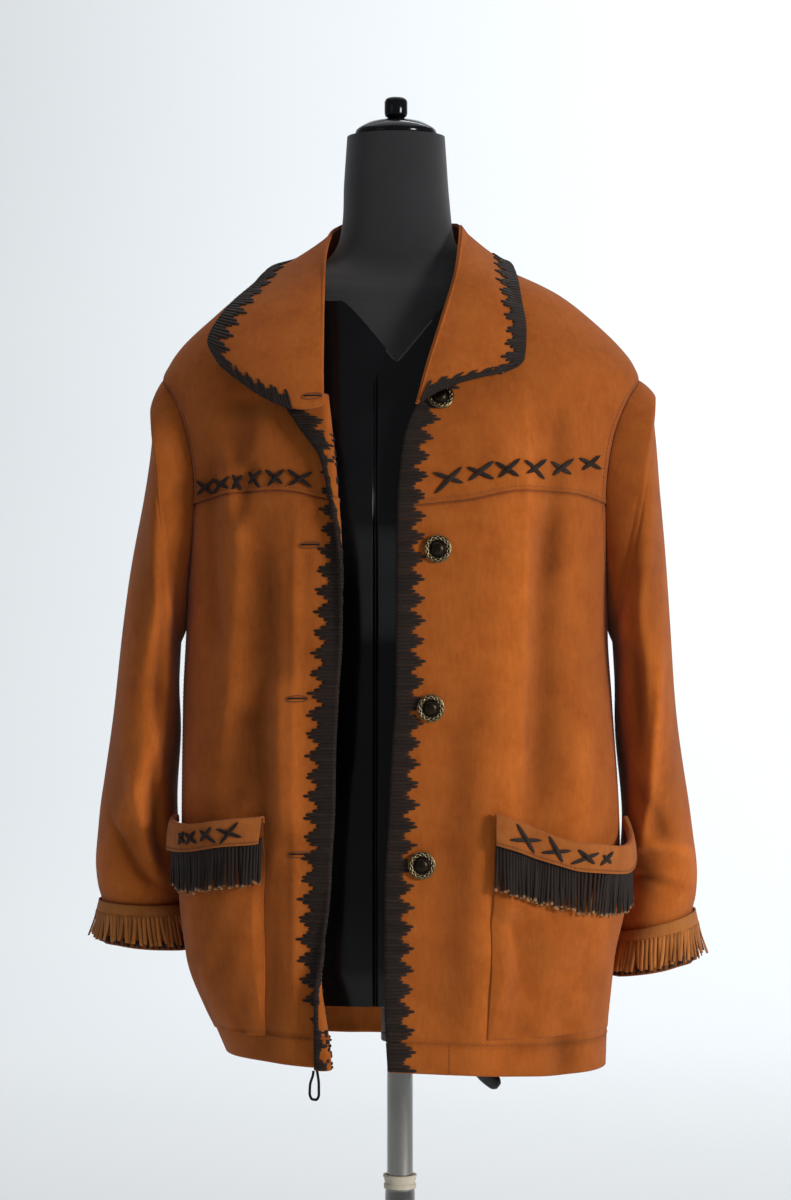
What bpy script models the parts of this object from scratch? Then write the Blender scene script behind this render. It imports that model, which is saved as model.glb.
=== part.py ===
"""Suede coat with laced edges and cut fringe, worn by a limbless dress form on a round stand.

Metres, +Z up. The coat's front faces -Y, the wearer's left is +X, and the floor is at Z = 0.
The coat's body is one surface: a closed ring at each height, read from a table of half widths and
depths. Each panel is a stretch of that surface with the leather's thickness behind it.
"""

import math

import bpy
import numpy as np
from mathutils import Vector
from mathutils.bvhtree import BVHTree

LEATHER = 0.0022
SEAM = 0.0003
HALF_SEAM = SEAM / 2
LACE = 0.0013
CROSS_LIFT = 0.0010

HEM_HEIGHT = 0.649
HEM_TILT = 0.007
ARMPIT = 1.10
ARMHOLE_TOP = 1.32
ARMHOLE_FRONT = 0.058
ARMHOLE_BACK = 0.062
SHOULDER_END = 1.437
ARMHOLE_STEPS = 9
ROLL_RADIUS = 0.004
EDGE_COLUMN = 0.007

POLE_RADIUS = 0.0130
OUTER_TUBE_RADIUS = 0.0150
TUBE_TOP = 0.512
BASE_RADIUS = 0.17
BASE_THICKNESS = 0.012
FORM_BOTTOM = 0.706
CLAMP_RADIUS = 0.0190
CLAMP_LOW = 0.660
POLE_LOW = 0.150
# The lever's nose stands off the clamp by the room that it needs to swing down by 25 degrees
LEVER_ROOT = CLAMP_RADIUS + 0.0008

COLLECTION = "suede_coat_on_dress_form"


def table(columns, *rows):
    """Rows of numbers under named columns, as one array for each column."""
    return {name: np.array([row[i] for row in rows], float) for i, name in enumerate(columns.split())}


BODY = table(
    "height right_side left_side middle front back squareness",
    (0.640, 0.166, 0.204, -0.015, -0.150, 0.130, 2.5),
    (0.670, 0.179, 0.205, -0.015, -0.150, 0.131, 2.5),
    (0.700, 0.192, 0.206, -0.015, -0.150, 0.132, 2.5),
    (0.750, 0.208, 0.209, -0.015, -0.150, 0.132, 2.5),
    (0.820, 0.214, 0.219, -0.014, -0.149, 0.130, 2.5),
    (0.880, 0.217, 0.218, -0.012, -0.147, 0.127, 2.5),
    (1.000, 0.216, 0.211, -0.006, -0.146, 0.118, 2.4),
    (1.070, 0.213, 0.207, -0.002, -0.147, 0.114, 2.4),
    (1.100, 0.212, 0.207, 0.000, -0.147, 0.114, 2.4),
    (1.160, 0.212, 0.210, 0.001, -0.146, 0.117, 2.4),
    (1.210, 0.214, 0.214, 0.002, -0.140, 0.120, 2.35),
    (1.260, 0.221, 0.222, 0.003, -0.128, 0.120, 2.3),
    (1.300, 0.231, 0.233, 0.004, -0.114, 0.116, 2.2),
    (1.320, 0.237, 0.239, 0.005, -0.105, 0.113, 2.15),
    (1.336, 0.230, 0.233, 0.006, -0.098, 0.110, 2.1),
    (1.352, 0.219, 0.221, 0.007, -0.090, 0.107, 2.05),
    (1.381, 0.189, 0.191, 0.009, -0.075, 0.101, 2.0),
    (1.405, 0.160, 0.160, 0.010, -0.062, 0.094, 2.0),
    (1.425, 0.120, 0.120, 0.012, -0.046, 0.087, 2.0),
    (1.437, 0.088, 0.088, 0.014, -0.036, 0.081, 2.0),
)
# Where each front ends: the free edge or fold line up to the neckline, and the neckline above it
LEFT_EDGE = table(
    "height across",
    (0.640, -0.0098), (0.718, -0.0136), (0.814, -0.0136), (0.890, -0.0098), (0.966, -0.0059),
    (1.007, -0.0031), (1.153, -0.0021), (1.196, -0.0012), (1.224, 0.0008), (1.253, 0.0046),
    (1.284, 0.0151), (1.300, 0.0260), (1.330, 0.0450), (1.370, 0.0600), (1.410, 0.0700), (1.437, 0.0760),
)
LEFT_EDGE_TOP = 1.300
RIGHT_EDGE = table(
    "height across",
    (0.640, -0.0700), (0.665, -0.0709), (0.704, -0.0766), (0.733, -0.0804), (0.766, -0.0786),
    (0.833, -0.0709), (0.890, -0.0670), (0.966, -0.0651), (1.007, -0.0632), (1.091, -0.0613),
    (1.153, -0.0615), (1.215, -0.0661), (1.284, -0.0728), (1.300, -0.0745), (1.360, -0.0780), (1.437, -0.0780),
)
# How much of the right front is rolled outwards: a lapel at the top, a turned corner at the hem
RIGHT_ROLL = table(
    "height width",
    (0.640, 0.021), (0.674, 0.019), (0.700, 0.0155), (0.728, 0.0120), (0.755, 0.0085), (0.800, 0.0045),
    (0.860, 0.0022),
    (1.000, 0.002), (1.060, 0.0045), (1.100, 0.0064), (1.126, 0.0082), (1.155, 0.0106), (1.191, 0.0138),
    (1.229, 0.019),
    (1.265, 0.038), (1.294, 0.050), (1.300, 0.050),
)
YOKE_SEAM = table("across height", (0.0, 1.190), (0.060, 1.196), (0.120, 1.206), (0.165, 1.204), (0.215, 1.1909))

# Soft creases of the fronts, as ridges (+) and troughs (-) between two places on the front
CREASES = table(
    "side top_across top_height low_across low_height lift spread",
    (1, 0.118, 1.300, 0.082, 0.660, 0.0060, 0.020),
    (1, 0.103, 0.806, 0.132, 0.700, -0.0065, 0.020),
    (1, 0.157, 0.760, 0.160, 0.640, -0.0050, 0.015),
    (1, 0.060, 1.020, 0.045, 0.680, -0.0030, 0.022),
    (-1, 0.136, 1.180, 0.134, 0.660, -0.0060, 0.017),
    (-1, 0.117, 1.030, 0.112, 0.880, 0.0040, 0.015),
    (-1, 0.151, 1.000, 0.161, 0.900, -0.0040, 0.014),
    (-1, 0.150, 1.300, 0.166, 1.225, -0.0040, 0.015),
)
BACK_FOLDS = table(
    "across top_height lift spread",
    (-0.120, 1.020, 0.0060, 0.026), (-0.060, 0.930, -0.0050, 0.022), (0.010, 1.060, 0.0055, 0.028),
    (0.075, 0.960, -0.0050, 0.024), (0.130, 1.000, 0.0060, 0.026),
)

# Sleeve sections from the armhole to the cuff: the outer line, the line beside the body, and the depths
LEFT_SLEEVE = table(
    "outer outer_height inner inner_height front back",
    (0.2510, 1.302, 0.2110, 1.075, -0.066, 0.068),
    (0.2550, 1.263, 0.2135, 1.045, -0.076, 0.077),
    (0.2600, 1.205, 0.2150, 1.010, -0.080, 0.084),
    (0.2650, 1.125, 0.2175, 0.965, -0.078, 0.088),
    (0.2740, 1.030, 0.2200, 0.915, -0.070, 0.092),
    (0.2840, 0.940, 0.2228, 0.865, -0.055, 0.098),
    (0.2930, 0.865, 0.2232, 0.815, -0.040, 0.100),
    (0.2980, 0.790, 0.2155, 0.768, -0.030, 0.092),
    (0.2990, 0.738, 0.2130, 0.722, -0.022, 0.088),
)
RIGHT_SLEEVE = table(
    "outer outer_height inner inner_height front back",
    (0.2450, 1.290, 0.2170, 1.075, -0.066, 0.068),
    (0.2480, 1.252, 0.2200, 1.045, -0.076, 0.077),
    (0.2560, 1.200, 0.2210, 1.010, -0.080, 0.084),
    (0.2690, 1.120, 0.2215, 0.965, -0.078, 0.088),
    (0.2840, 1.020, 0.2222, 0.915, -0.070, 0.092),
    (0.2960, 0.930, 0.2222, 0.868, -0.055, 0.098),
    (0.3020, 0.868, 0.2205, 0.830, -0.040, 0.100),
    (0.3035, 0.800, 0.2140, 0.796, -0.030, 0.092),
    (0.3030, 0.757, 0.2105, 0.749, -0.022, 0.088),
)
CUFF_BAND_START = 8.03
CUFF_BAND_END = 8.21
CUFF_FRINGE_END = 8.84

# Collar sections from the wearer's right end round the neck to the left end
COLLAR = table(
    "place base_x base_y base_z fold_x fold_y fold_z mid_x mid_y mid_z edge_x edge_y edge_z",
    (-6, -0.0790, -0.124, 1.292, -0.0728, -0.140, 1.288, -0.116, -0.134, 1.288, -0.176, -0.100, 1.330),
    (-5, -0.0790, -0.110, 1.325, -0.0735, -0.126, 1.325, -0.128, -0.116, 1.332, -0.187, -0.082, 1.352),
    (-4, -0.0800, -0.090, 1.365, -0.0735, -0.104, 1.368, -0.124, -0.094, 1.370, -0.174, -0.066, 1.380),
    (-3, -0.0805, -0.060, 1.410, -0.0730, -0.066, 1.424, -0.112, -0.058, 1.412, -0.150, -0.040, 1.407),
    (-2, -0.0850, -0.004, 1.4395, -0.0680, -0.006, 1.466, -0.096, 0.006, 1.447, -0.122, 0.012, 1.430),
    (-1, -0.0620, 0.060, 1.4395, -0.0520, 0.054, 1.483, -0.073, 0.076, 1.452, -0.092, 0.092, 1.419),
    (0, 0.0, 0.0815, 1.4395, 0.0, 0.0755, 1.486, 0.0, 0.099, 1.452, 0.0, 0.107, 1.408),
    (1, 0.0620, 0.060, 1.4395, 0.0500, 0.054, 1.483, 0.071, 0.076, 1.453, 0.090, 0.091, 1.421),
    (2, 0.0850, -0.004, 1.4395, 0.0590, -0.004, 1.474, 0.084, 0.004, 1.453, 0.106, 0.010, 1.437),
    (3, 0.0720, -0.060, 1.410, 0.0540, -0.062, 1.428, 0.085, -0.066, 1.414, 0.116, -0.052, 1.402),
    (4, 0.0620, -0.088, 1.370, 0.0385, -0.100, 1.372, 0.082, -0.096, 1.368, 0.122, -0.080, 1.366),
    (5, 0.0480, -0.108, 1.330, 0.0250, -0.122, 1.328, 0.072, -0.116, 1.332, 0.1195, -0.096, 1.334),
    (6, 0.0300, -0.124, 1.302, 0.0145, -0.136, 1.288, 0.048, -0.130, 1.306, 0.0995, -0.108, 1.320),
)

FORM = table(
    "height half_width centre front back squareness",
    (0.706, 0.152, 0.0, -0.104, 0.100, 2.3),
    (0.740, 0.160, 0.0, -0.110, 0.106, 2.3),
    (0.830, 0.165, 0.0, -0.112, 0.112, 2.3),
    (0.900, 0.158, 0.0, -0.106, 0.106, 2.3),
    (0.980, 0.135, 0.0, -0.094, 0.082, 2.2),
    (1.050, 0.128, 0.0, -0.094, 0.072, 2.2),
    (1.120, 0.140, 0.0, -0.110, 0.080, 2.2),
    (1.180, 0.152, 0.0, -0.126, 0.088, 2.2),
    (1.230, 0.158, 0.0, -0.120, 0.094, 2.2),
    (1.280, 0.166, 0.0, -0.100, 0.096, 2.2),
    (1.320, 0.171, 0.0, -0.082, 0.092, 2.1),
    (1.360, 0.168, 0.0, -0.066, 0.086, 2.0),
    (1.388, 0.160, 0.0, -0.056, 0.080, 2.0),
    (1.406, 0.149, 0.0, -0.049, 0.076, 2.0),
    (1.421, 0.119, 0.0, -0.041, 0.070, 2.0),
    (1.429, 0.096, 0.0, -0.038, 0.066, 2.0),
    (1.437, 0.078, -0.001, -0.037, 0.063, 2.0),
    (1.448, 0.065, -0.002, -0.039, 0.062, 2.0),
    (1.460, 0.058, -0.003, -0.041, 0.061, 2.0),
    (1.480, 0.0545, -0.003, -0.042, 0.060, 2.0),
    (1.520, 0.0520, -0.004, -0.041, 0.060, 2.0),
    (1.564, 0.0490, -0.004, -0.040, 0.058, 2.0),
)
NECK_COVER_SIDE = 1.395
NECK_COVER_DIP = 0.062

BUTTONS = table(
    "across height",
    (0.0385, 1.2955), (0.0355, 1.1487), (0.0288, 0.9969), (0.0202, 0.8469),
)
BUTTON_RADIUS = 0.01325
LEFT_CROSSES = table(
    "across height width",
    (0.0465, 1.2155, 0.0205), (0.0762, 1.2213, 0.0205), (0.1045, 1.2251, 0.0190),
    (0.1290, 1.2251, 0.0190), (0.1550, 1.2255, 0.0205), (0.1835, 1.2280, 0.0190),
)
RIGHT_CROSSES = table(
    "across height width",
    (-0.1900, 1.2100, 0.0160), (-0.1735, 1.2125, 0.0145), (-0.1575, 1.2135, 0.0145),
    (-0.1405, 1.2165, 0.0165), (-0.1200, 1.2184, 0.0180), (-0.0955, 1.2175, 0.0195),
)
POCKET_CROSSES = (0.16, 0.37, 0.58, 0.77)
# Pocket mouth lines along each pocket from its ridge end (0) to its side end (1)
LEFT_POCKET = table(
    "along top depth stand_off fringe",
    (0.0, 0.896, 0.030, 0.0015, 0.043), (0.25, 0.880, 0.026, 0.007, 0.042), (0.50, 0.866, 0.023, 0.015, 0.041),
    (0.75, 0.861, 0.023, 0.017, 0.042), (0.92, 0.872, 0.024, 0.009, 0.043), (1.0, 0.886, 0.026, 0.0015, 0.045),
)
RIGHT_POCKET = table(
    "along top depth stand_off fringe",
    (0.0, 0.892, 0.026, 0.0015, 0.038), (0.30, 0.887, 0.025, 0.008, 0.039), (0.60, 0.882, 0.026, 0.012, 0.040),
    (0.85, 0.884, 0.028, 0.009, 0.034), (1.0, 0.888, 0.031, 0.0015, 0.030),
)
POCKET_FOOT = 0.674
POCKET_STRANDS = 28
CUFF_STRANDS = 54


def follow(tab, column, at):
    """A smooth curve through one column, with no overshoot (monotone cubic)."""
    names = list(tab)
    x, y = tab[names[0]], tab[column]
    at = np.clip(np.asarray(at, float), x[0], x[-1])
    step = np.diff(x)
    slope = np.diff(y) / step
    inner = np.where(slope[1:] * slope[:-1] > 0, 2 * slope[1:] * slope[:-1] / (slope[1:] + slope[:-1] + 1e-15), 0.0)
    tangent = np.concatenate([[slope[0]], inner, [slope[-1]]])
    i = np.clip(np.searchsorted(x, at) - 1, 0, len(step) - 1)
    t = (at - x[i]) / step[i]
    rise = y[i + 1] - y[i]
    return (
        y[i]
        + rise * t * t * (3 - 2 * t)
        + step[i] * (tangent[i] * t * (1 - t) ** 2 - tangent[i + 1] * t * t * (1 - t))
    )


def unit(v):
    return v / np.maximum(np.linalg.norm(v, axis=-1, keepdims=True), 1e-12)


def fade(value, start, end):
    """0 before start, 1 after end, smooth between."""
    t = np.clip((value - start) / (end - start), 0.0, 1.0)
    return t * t * (3 - 2 * t)


def ring_radius(angle, height):
    """Distance from the ring's middle to the coat, at an angle from the front towards the wearer's left."""
    side = np.where(np.sin(angle) >= 0, follow(BODY, "left_side", height), follow(BODY, "right_side", height))
    middle = follow(BODY, "middle", height)
    depth = np.where(np.cos(angle) >= 0, middle - follow(BODY, "front", height), follow(BODY, "back", height) - middle)
    n = follow(BODY, "squareness", height)
    return (np.abs(np.sin(angle) / side) ** n + np.abs(np.cos(angle) / depth) ** n) ** (-1 / n)


def relief(x, front_side, height):
    """Height of the creases and folds above the plain ring."""
    total = np.zeros_like(x)
    for i in range(len(CREASES["side"])):
        c = {name: column[i] for name, column in CREASES.items()}
        share = (c["top_height"] - height) / (c["top_height"] - c["low_height"])
        centre = c["top_across"] + (c["low_across"] - c["top_across"]) * share
        ends = fade(share, -0.05, 0.15) * (1 - fade(share, 0.92, 1.12))
        across = (c["side"] * x - centre) / c["spread"]
        total += front_side * c["lift"] * ends * np.exp(-(across**2))
    for i in range(len(BACK_FOLDS["across"])):
        f = {name: column[i] for name, column in BACK_FOLDS.items()}
        ends = 1 - fade(height, f["top_height"] - 0.28, f["top_height"])
        total += (1 - front_side) * f["lift"] * ends * np.exp(-(((x - f["across"]) / f["spread"]) ** 2))
    return total


def coat_point(angle, height):
    """A point of the coat's outer surface."""
    angle, height = np.broadcast_arrays(np.asarray(angle, float), np.asarray(height, float))
    r = ring_radius(angle, height)
    x = r * np.sin(angle)
    front_side = (np.cos(angle) >= 0).astype(float)
    r = r + relief(x, front_side, height) * fade(np.abs(np.cos(angle)), 0.10, 0.45)
    y = follow(BODY, "middle", height) - r * np.cos(angle)
    return np.stack([r * np.sin(angle), y, height], -1)


def normals_of(point, a, b, step=1e-4):
    """Outward normals of a surface point(a, b) whose first parameter runs to the left and second upwards."""
    da = point(a + step, b) - point(a - step, b)
    db = point(a, b + step) - point(a, b - step)
    return unit(np.cross(da, db))


def coat_normal(angle, height):
    return normals_of(coat_point, angle, np.minimum(height, SHOULDER_END - 2e-4))


def angle_at_x(x, height, front=True):
    """Angle of the point of a ring that lies x across, on its front or back half."""
    x, height = np.broadcast_arrays(np.asarray(x, float), np.asarray(height, float))
    side = np.where(x >= 0, follow(BODY, "left_side", height), follow(BODY, "right_side", height))
    middle = follow(BODY, "middle", height)
    depth = (middle - follow(BODY, "front", height)) if front else (follow(BODY, "back", height) - middle)
    n = follow(BODY, "squareness", height)
    y = depth * np.maximum(1 - np.abs(x / side) ** n, 0.0) ** (1 / n)
    return np.arctan2(x, y if front else -y)


def angle_at_depth(side, distance, height, front=True):
    """Angle of the point of a ring that lies a distance in front of (or behind) the ring's middle."""
    width = follow(BODY, "left_side" if side > 0 else "right_side", height)
    middle = follow(BODY, "middle", height)
    depth = (middle - follow(BODY, "front", height)) if front else (follow(BODY, "back", height) - middle)
    n = follow(BODY, "squareness", height)
    x = width * np.maximum(1 - np.abs(distance / depth) ** n, 0.0) ** (1 / n)
    return np.arctan2(side * x, distance if front else -distance)


# Row heights shared by all panels: the skirt, the armhole at even steps of its loop, and the shoulder
TURN = np.radians(np.arange(0, 181, 180 / ARMHOLE_STEPS))
ARMHOLE_ROWS = (ARMPIT + ARMHOLE_TOP) / 2 - (ARMHOLE_TOP - ARMPIT) / 2 * np.cos(TURN)
SKIRT_ROWS = np.array([HEM_HEIGHT, 0.674, 0.700, 0.728, 0.755, 0.80, 0.86, 0.93, 1.00, 1.06])
SHOULDER_ROWS = np.array([1.336, 1.354, 1.372, 1.390, 1.405, 1.418, 1.429, SHOULDER_END])
YOKE_STEP = 4
FRONT_ROWS = np.concatenate([SKIRT_ROWS, ARMHOLE_ROWS[: YOKE_STEP + 1]])
ROLLED_ROWS = np.sort(np.concatenate([FRONT_ROWS, [0.687, 0.714, 0.741, 0.775, 1.03, 1.14, 1.173]]))
YOKE_ROWS = np.concatenate([ARMHOLE_ROWS[YOKE_STEP:], SHOULDER_ROWS])
ROLLED_YOKE_ROWS = np.sort(np.append(YOKE_ROWS, 1.210))
BACK_ROWS = np.concatenate([SKIRT_ROWS, ARMHOLE_ROWS, SHOULDER_ROWS])


def hem_height(x):
    return HEM_HEIGHT - HEM_TILT * np.clip(x / 0.15, -1, 1)


def side_end(side, height, front):
    """Angle where a panel ends at its side: the side seam, the armhole, or the shoulder seam."""
    turn = np.arccos(np.clip(1 - 2 * (height - ARMPIT) / (ARMHOLE_TOP - ARMPIT), -1, 1))
    deep = (ARMHOLE_FRONT if front else ARMHOLE_BACK) * np.sin(turn)
    return angle_at_depth(side, np.maximum(deep, HALF_SEAM), height, front)


def seam_shift(height, x):
    """How far a row moves up or down so that the rows meet the yoke seam's line."""
    level = ARMHOLE_ROWS[YOKE_STEP]
    rise = follow(YOKE_SEAM, "height", np.abs(x)) - level
    near = np.where(
        height <= level,
        np.clip((height - SKIRT_ROWS[-1]) / (level - SKIRT_ROWS[-1]), 0, 1),
        np.clip((ARMHOLE_ROWS[YOKE_STEP + 3] - height) / (ARMHOLE_ROWS[YOKE_STEP + 3] - level), 0, 1),
    )
    return rise * near


def hem_shift(height, x):
    """How far a row moves so that the lowest one follows the hem's tilt."""
    return (hem_height(x) - HEM_HEIGHT) * np.clip((0.728 - height) / (0.728 - HEM_HEIGHT), 0, 1)


def collection():
    found = bpy.data.collections.get(COLLECTION)
    if not found:
        found = bpy.data.collections.new(COLLECTION)
        bpy.context.scene.collection.children.link(found)
    return found


def material(name, colour, roughness, metallic=0.0):
    found = bpy.data.materials.get(name)
    if not found:
        found = bpy.data.materials.new(name)
        found.use_nodes = True
        shader = found.node_tree.nodes["Principled BSDF"]
        shader.inputs["Base Color"].default_value = (*colour, 1.0)
        shader.inputs["Roughness"].default_value = roughness
        shader.inputs["Metallic"].default_value = metallic
        found.diffuse_color = (*colour, 1.0)
    return found


def suede():
    return material("cognac_suede", (0.38, 0.092, 0.017), 0.9)


def dark_lace():
    return material("dark_brown_lace", (0.018, 0.010, 0.009), 0.55)


def aged_brass():
    return material("aged_brass", (0.30, 0.17, 0.06), 0.4, 0.9)


def gloss_black():
    return material("gloss_black_plastic", (0.008, 0.008, 0.009), 0.15)


def jersey_black():
    return material("black_jersey", (0.010, 0.010, 0.011), 0.95)


def chrome():
    return material("chrome", (0.75, 0.75, 0.76), 0.12, 1.0)


def base_paint():
    return material("base_paint", (0.05, 0.05, 0.055), 0.35, 0.6)


def cream_plastic():
    return material("cream_plastic", (0.70, 0.64, 0.52), 0.45)


def build_object(name, verts, faces, mat, smooth=True):
    mesh = bpy.data.meshes.new(name)
    mesh.from_pydata([tuple(map(float, v)) for v in verts], [], faces)
    mesh.materials.append(mat)
    mesh.polygons.foreach_set("use_smooth", [smooth] * len(mesh.polygons))
    obj = bpy.data.objects.new(name, mesh)
    collection().objects.link(obj)
    return obj


def wall(name, outer, inner, mat, keep=None, around=False):
    """A closed wall between two grids of points, rows upwards and columns to the left seen from outside.
    keep marks the cells that exist, and around joins the last column to the first."""
    rows, cols = outer.shape[:2]
    span = cols if around else cols - 1
    cells = np.ones((rows - 1, span), bool) if keep is None else keep
    index = {}
    verts = []

    def corner(r, c, layer):
        key = (r, c % cols, layer)
        if key not in index:
            index[key] = len(verts)
            verts.append((outer, inner)[layer][r, c % cols])
        return index[key]

    faces = []
    edges = {}
    for r in range(rows - 1):
        for c in range(span):
            if not cells[r, c]:
                continue
            loop = ((r, c), (r, c + 1), (r + 1, c + 1), (r + 1, c))
            out = [corner(*p, 0) for p in loop]
            back = [corner(*p, 1) for p in loop]
            faces += [(out[0], out[1], out[2]), (out[0], out[2], out[3])]
            faces += [(back[2], back[1], back[0]), (back[3], back[2], back[0])]
            for i in range(4):
                j = (i + 1) % 4
                pair = (out[i], out[j])
                if pair[::-1] in edges:
                    del edges[pair[::-1]]
                else:
                    edges[pair] = (back[i], back[j])
    for (a, b), (a_in, b_in) in edges.items():
        faces += [(b, a, a_in), (b, a_in, b_in)]
    return build_object(name, verts, faces, mat)


def lathe(name, profile, centre, mat, sides=24):
    """A closed turned solid: rows of (radius, height) from the bottom to the top, closed to points on the axis."""
    turn = np.linspace(0, 2 * np.pi, sides, endpoint=False)
    verts = [(centre[0], centre[1], centre[2] + profile[0][1])]
    for radius, height in profile:
        for a in turn:
            verts.append((centre[0] + radius * math.cos(a), centre[1] + radius * math.sin(a), centre[2] + height))
    verts.append((centre[0], centre[1], centre[2] + profile[-1][1]))
    top = len(verts) - 1
    faces = []
    for i in range(sides):
        j = (i + 1) % sides
        faces.append((0, 1 + j, 1 + i))
        for k in range(len(profile) - 1):
            low, high = 1 + k * sides, 1 + (k + 1) * sides
            faces.append((low + i, low + j, high + j, high + i))
        last = 1 + (len(profile) - 1) * sides
        faces.append((last + i, last + j, top))
    return build_object(name, verts, faces, mat)


# Fronts and yokes

FRONT_COLUMNS = 13


def front_grid(side, rows, seam_end):
    """Points and normals of a front panel. Columns run from the free edge to the side.
    The first columns of the right front go round its outward roll."""
    nominal = rows[:, None]
    edge = LEFT_EDGE if side > 0 else RIGHT_EDGE
    shares = np.linspace(0, 1, FRONT_COLUMNS)[None, :]
    level_start = angle_at_x(follow(edge, "across", nominal), nominal)
    level = level_start + (side_end(side, nominal, True) - level_start) * shares
    x_level = coat_point(level, nominal)[..., 0]
    if side > 0:
        lead = np.array([0.0, EDGE_COLUMN])
    else:
        lead = np.zeros(6)
    lead_x = np.repeat(x_level[:, :1], len(lead), 1)
    x_all = np.concatenate([lead_x, x_level[:, 1:]], 1)
    height = nominal + seam_shift(nominal, x_all) + hem_shift(nominal, x_all)
    height = height + np.where(nominal == rows[seam_end], HALF_SEAM * (-1 if seam_end else 1), 0)
    x_start = follow(edge, "across", height[:, :1])
    start = angle_at_x(x_start, height[:, :1])
    if side > 0:
        q = np.repeat(lead[None, :], len(rows), 0)
    else:
        roll = follow(RIGHT_ROLL, "width", nominal)
        first = EDGE_COLUMN - roll
        steps = [-roll, first]
        for j in (4, 3, 2, 1):
            steps.append(np.maximum(-ROLL_RADIUS * math.pi * j / 4, first + 0.0025 * (5 - j)))
        q = np.concatenate(steps, 1)
        q = np.where(nominal > NECK_START + 1e-6, np.linspace(-0.002, 0.0, 6)[None, :], q)
    bend = np.clip(-q / ROLL_RADIUS, 0, math.pi)
    along = np.where(q >= 0, q, np.where(bend < math.pi, -ROLL_RADIUS * np.sin(bend), -q - math.pi * ROLL_RADIUS))
    lift = ROLL_RADIUS * (1 - np.cos(bend))
    lead_angle = angle_at_x(x_start + side * along, height[:, : len(lead)])
    base = coat_point(lead_angle, height[:, : len(lead)])
    normal = coat_normal(lead_angle, height[:, : len(lead)])
    to_side = side * unit(coat_point(lead_angle + 1e-4, height[:, : len(lead)]) - base)
    lead_points = base + normal * lift[..., None]
    lead_normals = unit(normal * np.cos(bend)[..., None] + to_side * np.sin(bend)[..., None])
    last = angle_at_x(x_start + side * np.maximum(along[:, -1:], 0), height[:, :1])
    angles = last + (side_end(side, height[:, len(lead):], True) - last) * shares[:, 1:]
    main = coat_point(angles, height[:, len(lead):])
    points = np.concatenate([lead_points, main], 1)
    normals = np.concatenate([lead_normals, coat_normal(angles, height[:, len(lead):])], 1)
    if side < 0:
        points, normals = points[:, ::-1], normals[:, ::-1]
    return points, normals


NECK_START = ARMHOLE_ROWS[7]


def fronts():
    """The lower fronts and the yokes, and the edge points that the laced edging follows."""
    edges = {}
    facets = {}
    for side, word in ((1, "left"), (-1, "right")):
        tracks = []
        front_rows, yoke_rows = (FRONT_ROWS, YOKE_ROWS) if side > 0 else (ROLLED_ROWS, ROLLED_YOKE_ROWS)
        for piece, rows, seam_end in ((f"{word}_front", front_rows, -1), (f"{word}_yoke", yoke_rows, 0)):
            outer, normal = front_grid(side, rows, seam_end)
            inner = outer - normal * LEATHER
            keep = np.ones((len(rows) - 1, outer.shape[1] - 1), bool)
            if side < 0:
                above = rows[:-1] >= NECK_START - 1e-6
                keep[above, -5:] = False
            wall(piece, outer, inner, suede(), keep)
            facets[piece] = (outer, normal)
            end, near = (0, 1) if side > 0 else (-1, -2)
            used = rows <= (LEFT_EDGE_TOP if side > 0 else NECK_START) + 1e-6
            tracks.append(np.stack([outer[used, end], inner[used, end], outer[used, near], inner[used, near]], 1))
        # The yoke's lowest row lies on the seam, where the front's last row is already
        edges[word] = np.concatenate([tracks[0], tracks[1][1:]])
    return edges, facets


def back():
    rows = BACK_ROWS
    nominal = rows[:, None]
    start = side_end(1, nominal, False)
    end = 2 * math.pi + side_end(-1, nominal, False)
    angles = start + (end - start) * np.linspace(0, 1, 17)[None, :]
    x = coat_point(angles, nominal)[..., 0]
    height = nominal + hem_shift(nominal, x)
    outer = coat_point(angles, height)
    wall("back", outer, outer - coat_normal(angles, height) * LEATHER, suede())


def edging(name, track, other_way, base, reach):
    """A laced leather edge: a channel that wraps a panel's edge, thickest at the edge itself.
    other_way names the sides whose cells are split along their other diagonal, so that floor and cover are
    split as the panel's own cells are and no twist brings them together. reach is the share of the panel's
    first cell that the edging covers."""
    edge_out, edge_in, near_out, near_in = (track[:, i] for i in range(4))
    near_out = edge_out + (near_out - edge_out) * reach
    near_in = edge_in + (near_in - edge_in) * reach
    n_edge = unit(edge_out - edge_in)
    n_near = unit(near_out - near_in)
    away = unit(edge_out - near_out + edge_in - near_in)
    top = base + LACE
    rings = np.stack([
        near_out + n_near * base,
        edge_out + n_edge * base + away * base,
        edge_in - n_edge * base + away * base,
        near_in - n_near * base,
        edge_in - n_edge * top + away * top,
        edge_out + n_edge * top + away * top,
    ], 1)
    count = len(rings)
    verts = rings.reshape(-1, 3)
    faces = []
    for k in range(count - 1):
        for i in range(6):
            j = (i + 1) % 6
            a, b = k * 6 + i, k * 6 + j
            if i in other_way:
                faces += [(a, b, a + 6), (b, b + 6, a + 6)]
            else:
                faces += [(a, b, b + 6), (a, b + 6, a + 6)]
    ends = ((0, 1, 5), (1, 2, 5), (2, 4, 5), (2, 3, 4))
    faces += [tuple(reversed(f)) for f in ends]
    last = (count - 1) * 6
    faces += [tuple(last + i for i in f) for f in ends]
    obj = build_object(name, verts, faces, dark_lace(), smooth=False)
    return turn_outwards(obj)


def turn_outwards(obj):
    """Faces all one way, outwards, judged by the closed mesh's signed volume."""
    mesh = obj.data
    volume = 0.0
    for p in mesh.polygons:
        a = mesh.vertices[p.vertices[0]].co
        for i in range(1, len(p.vertices) - 1):
            b = mesh.vertices[p.vertices[i]].co
            c = mesh.vertices[p.vertices[i + 1]].co
            volume += a.dot(b.cross(c))
    if volume < 0:
        mesh.flip_normals()
    return obj


# Sleeves

SLEEVE_TURNS = 18


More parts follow.
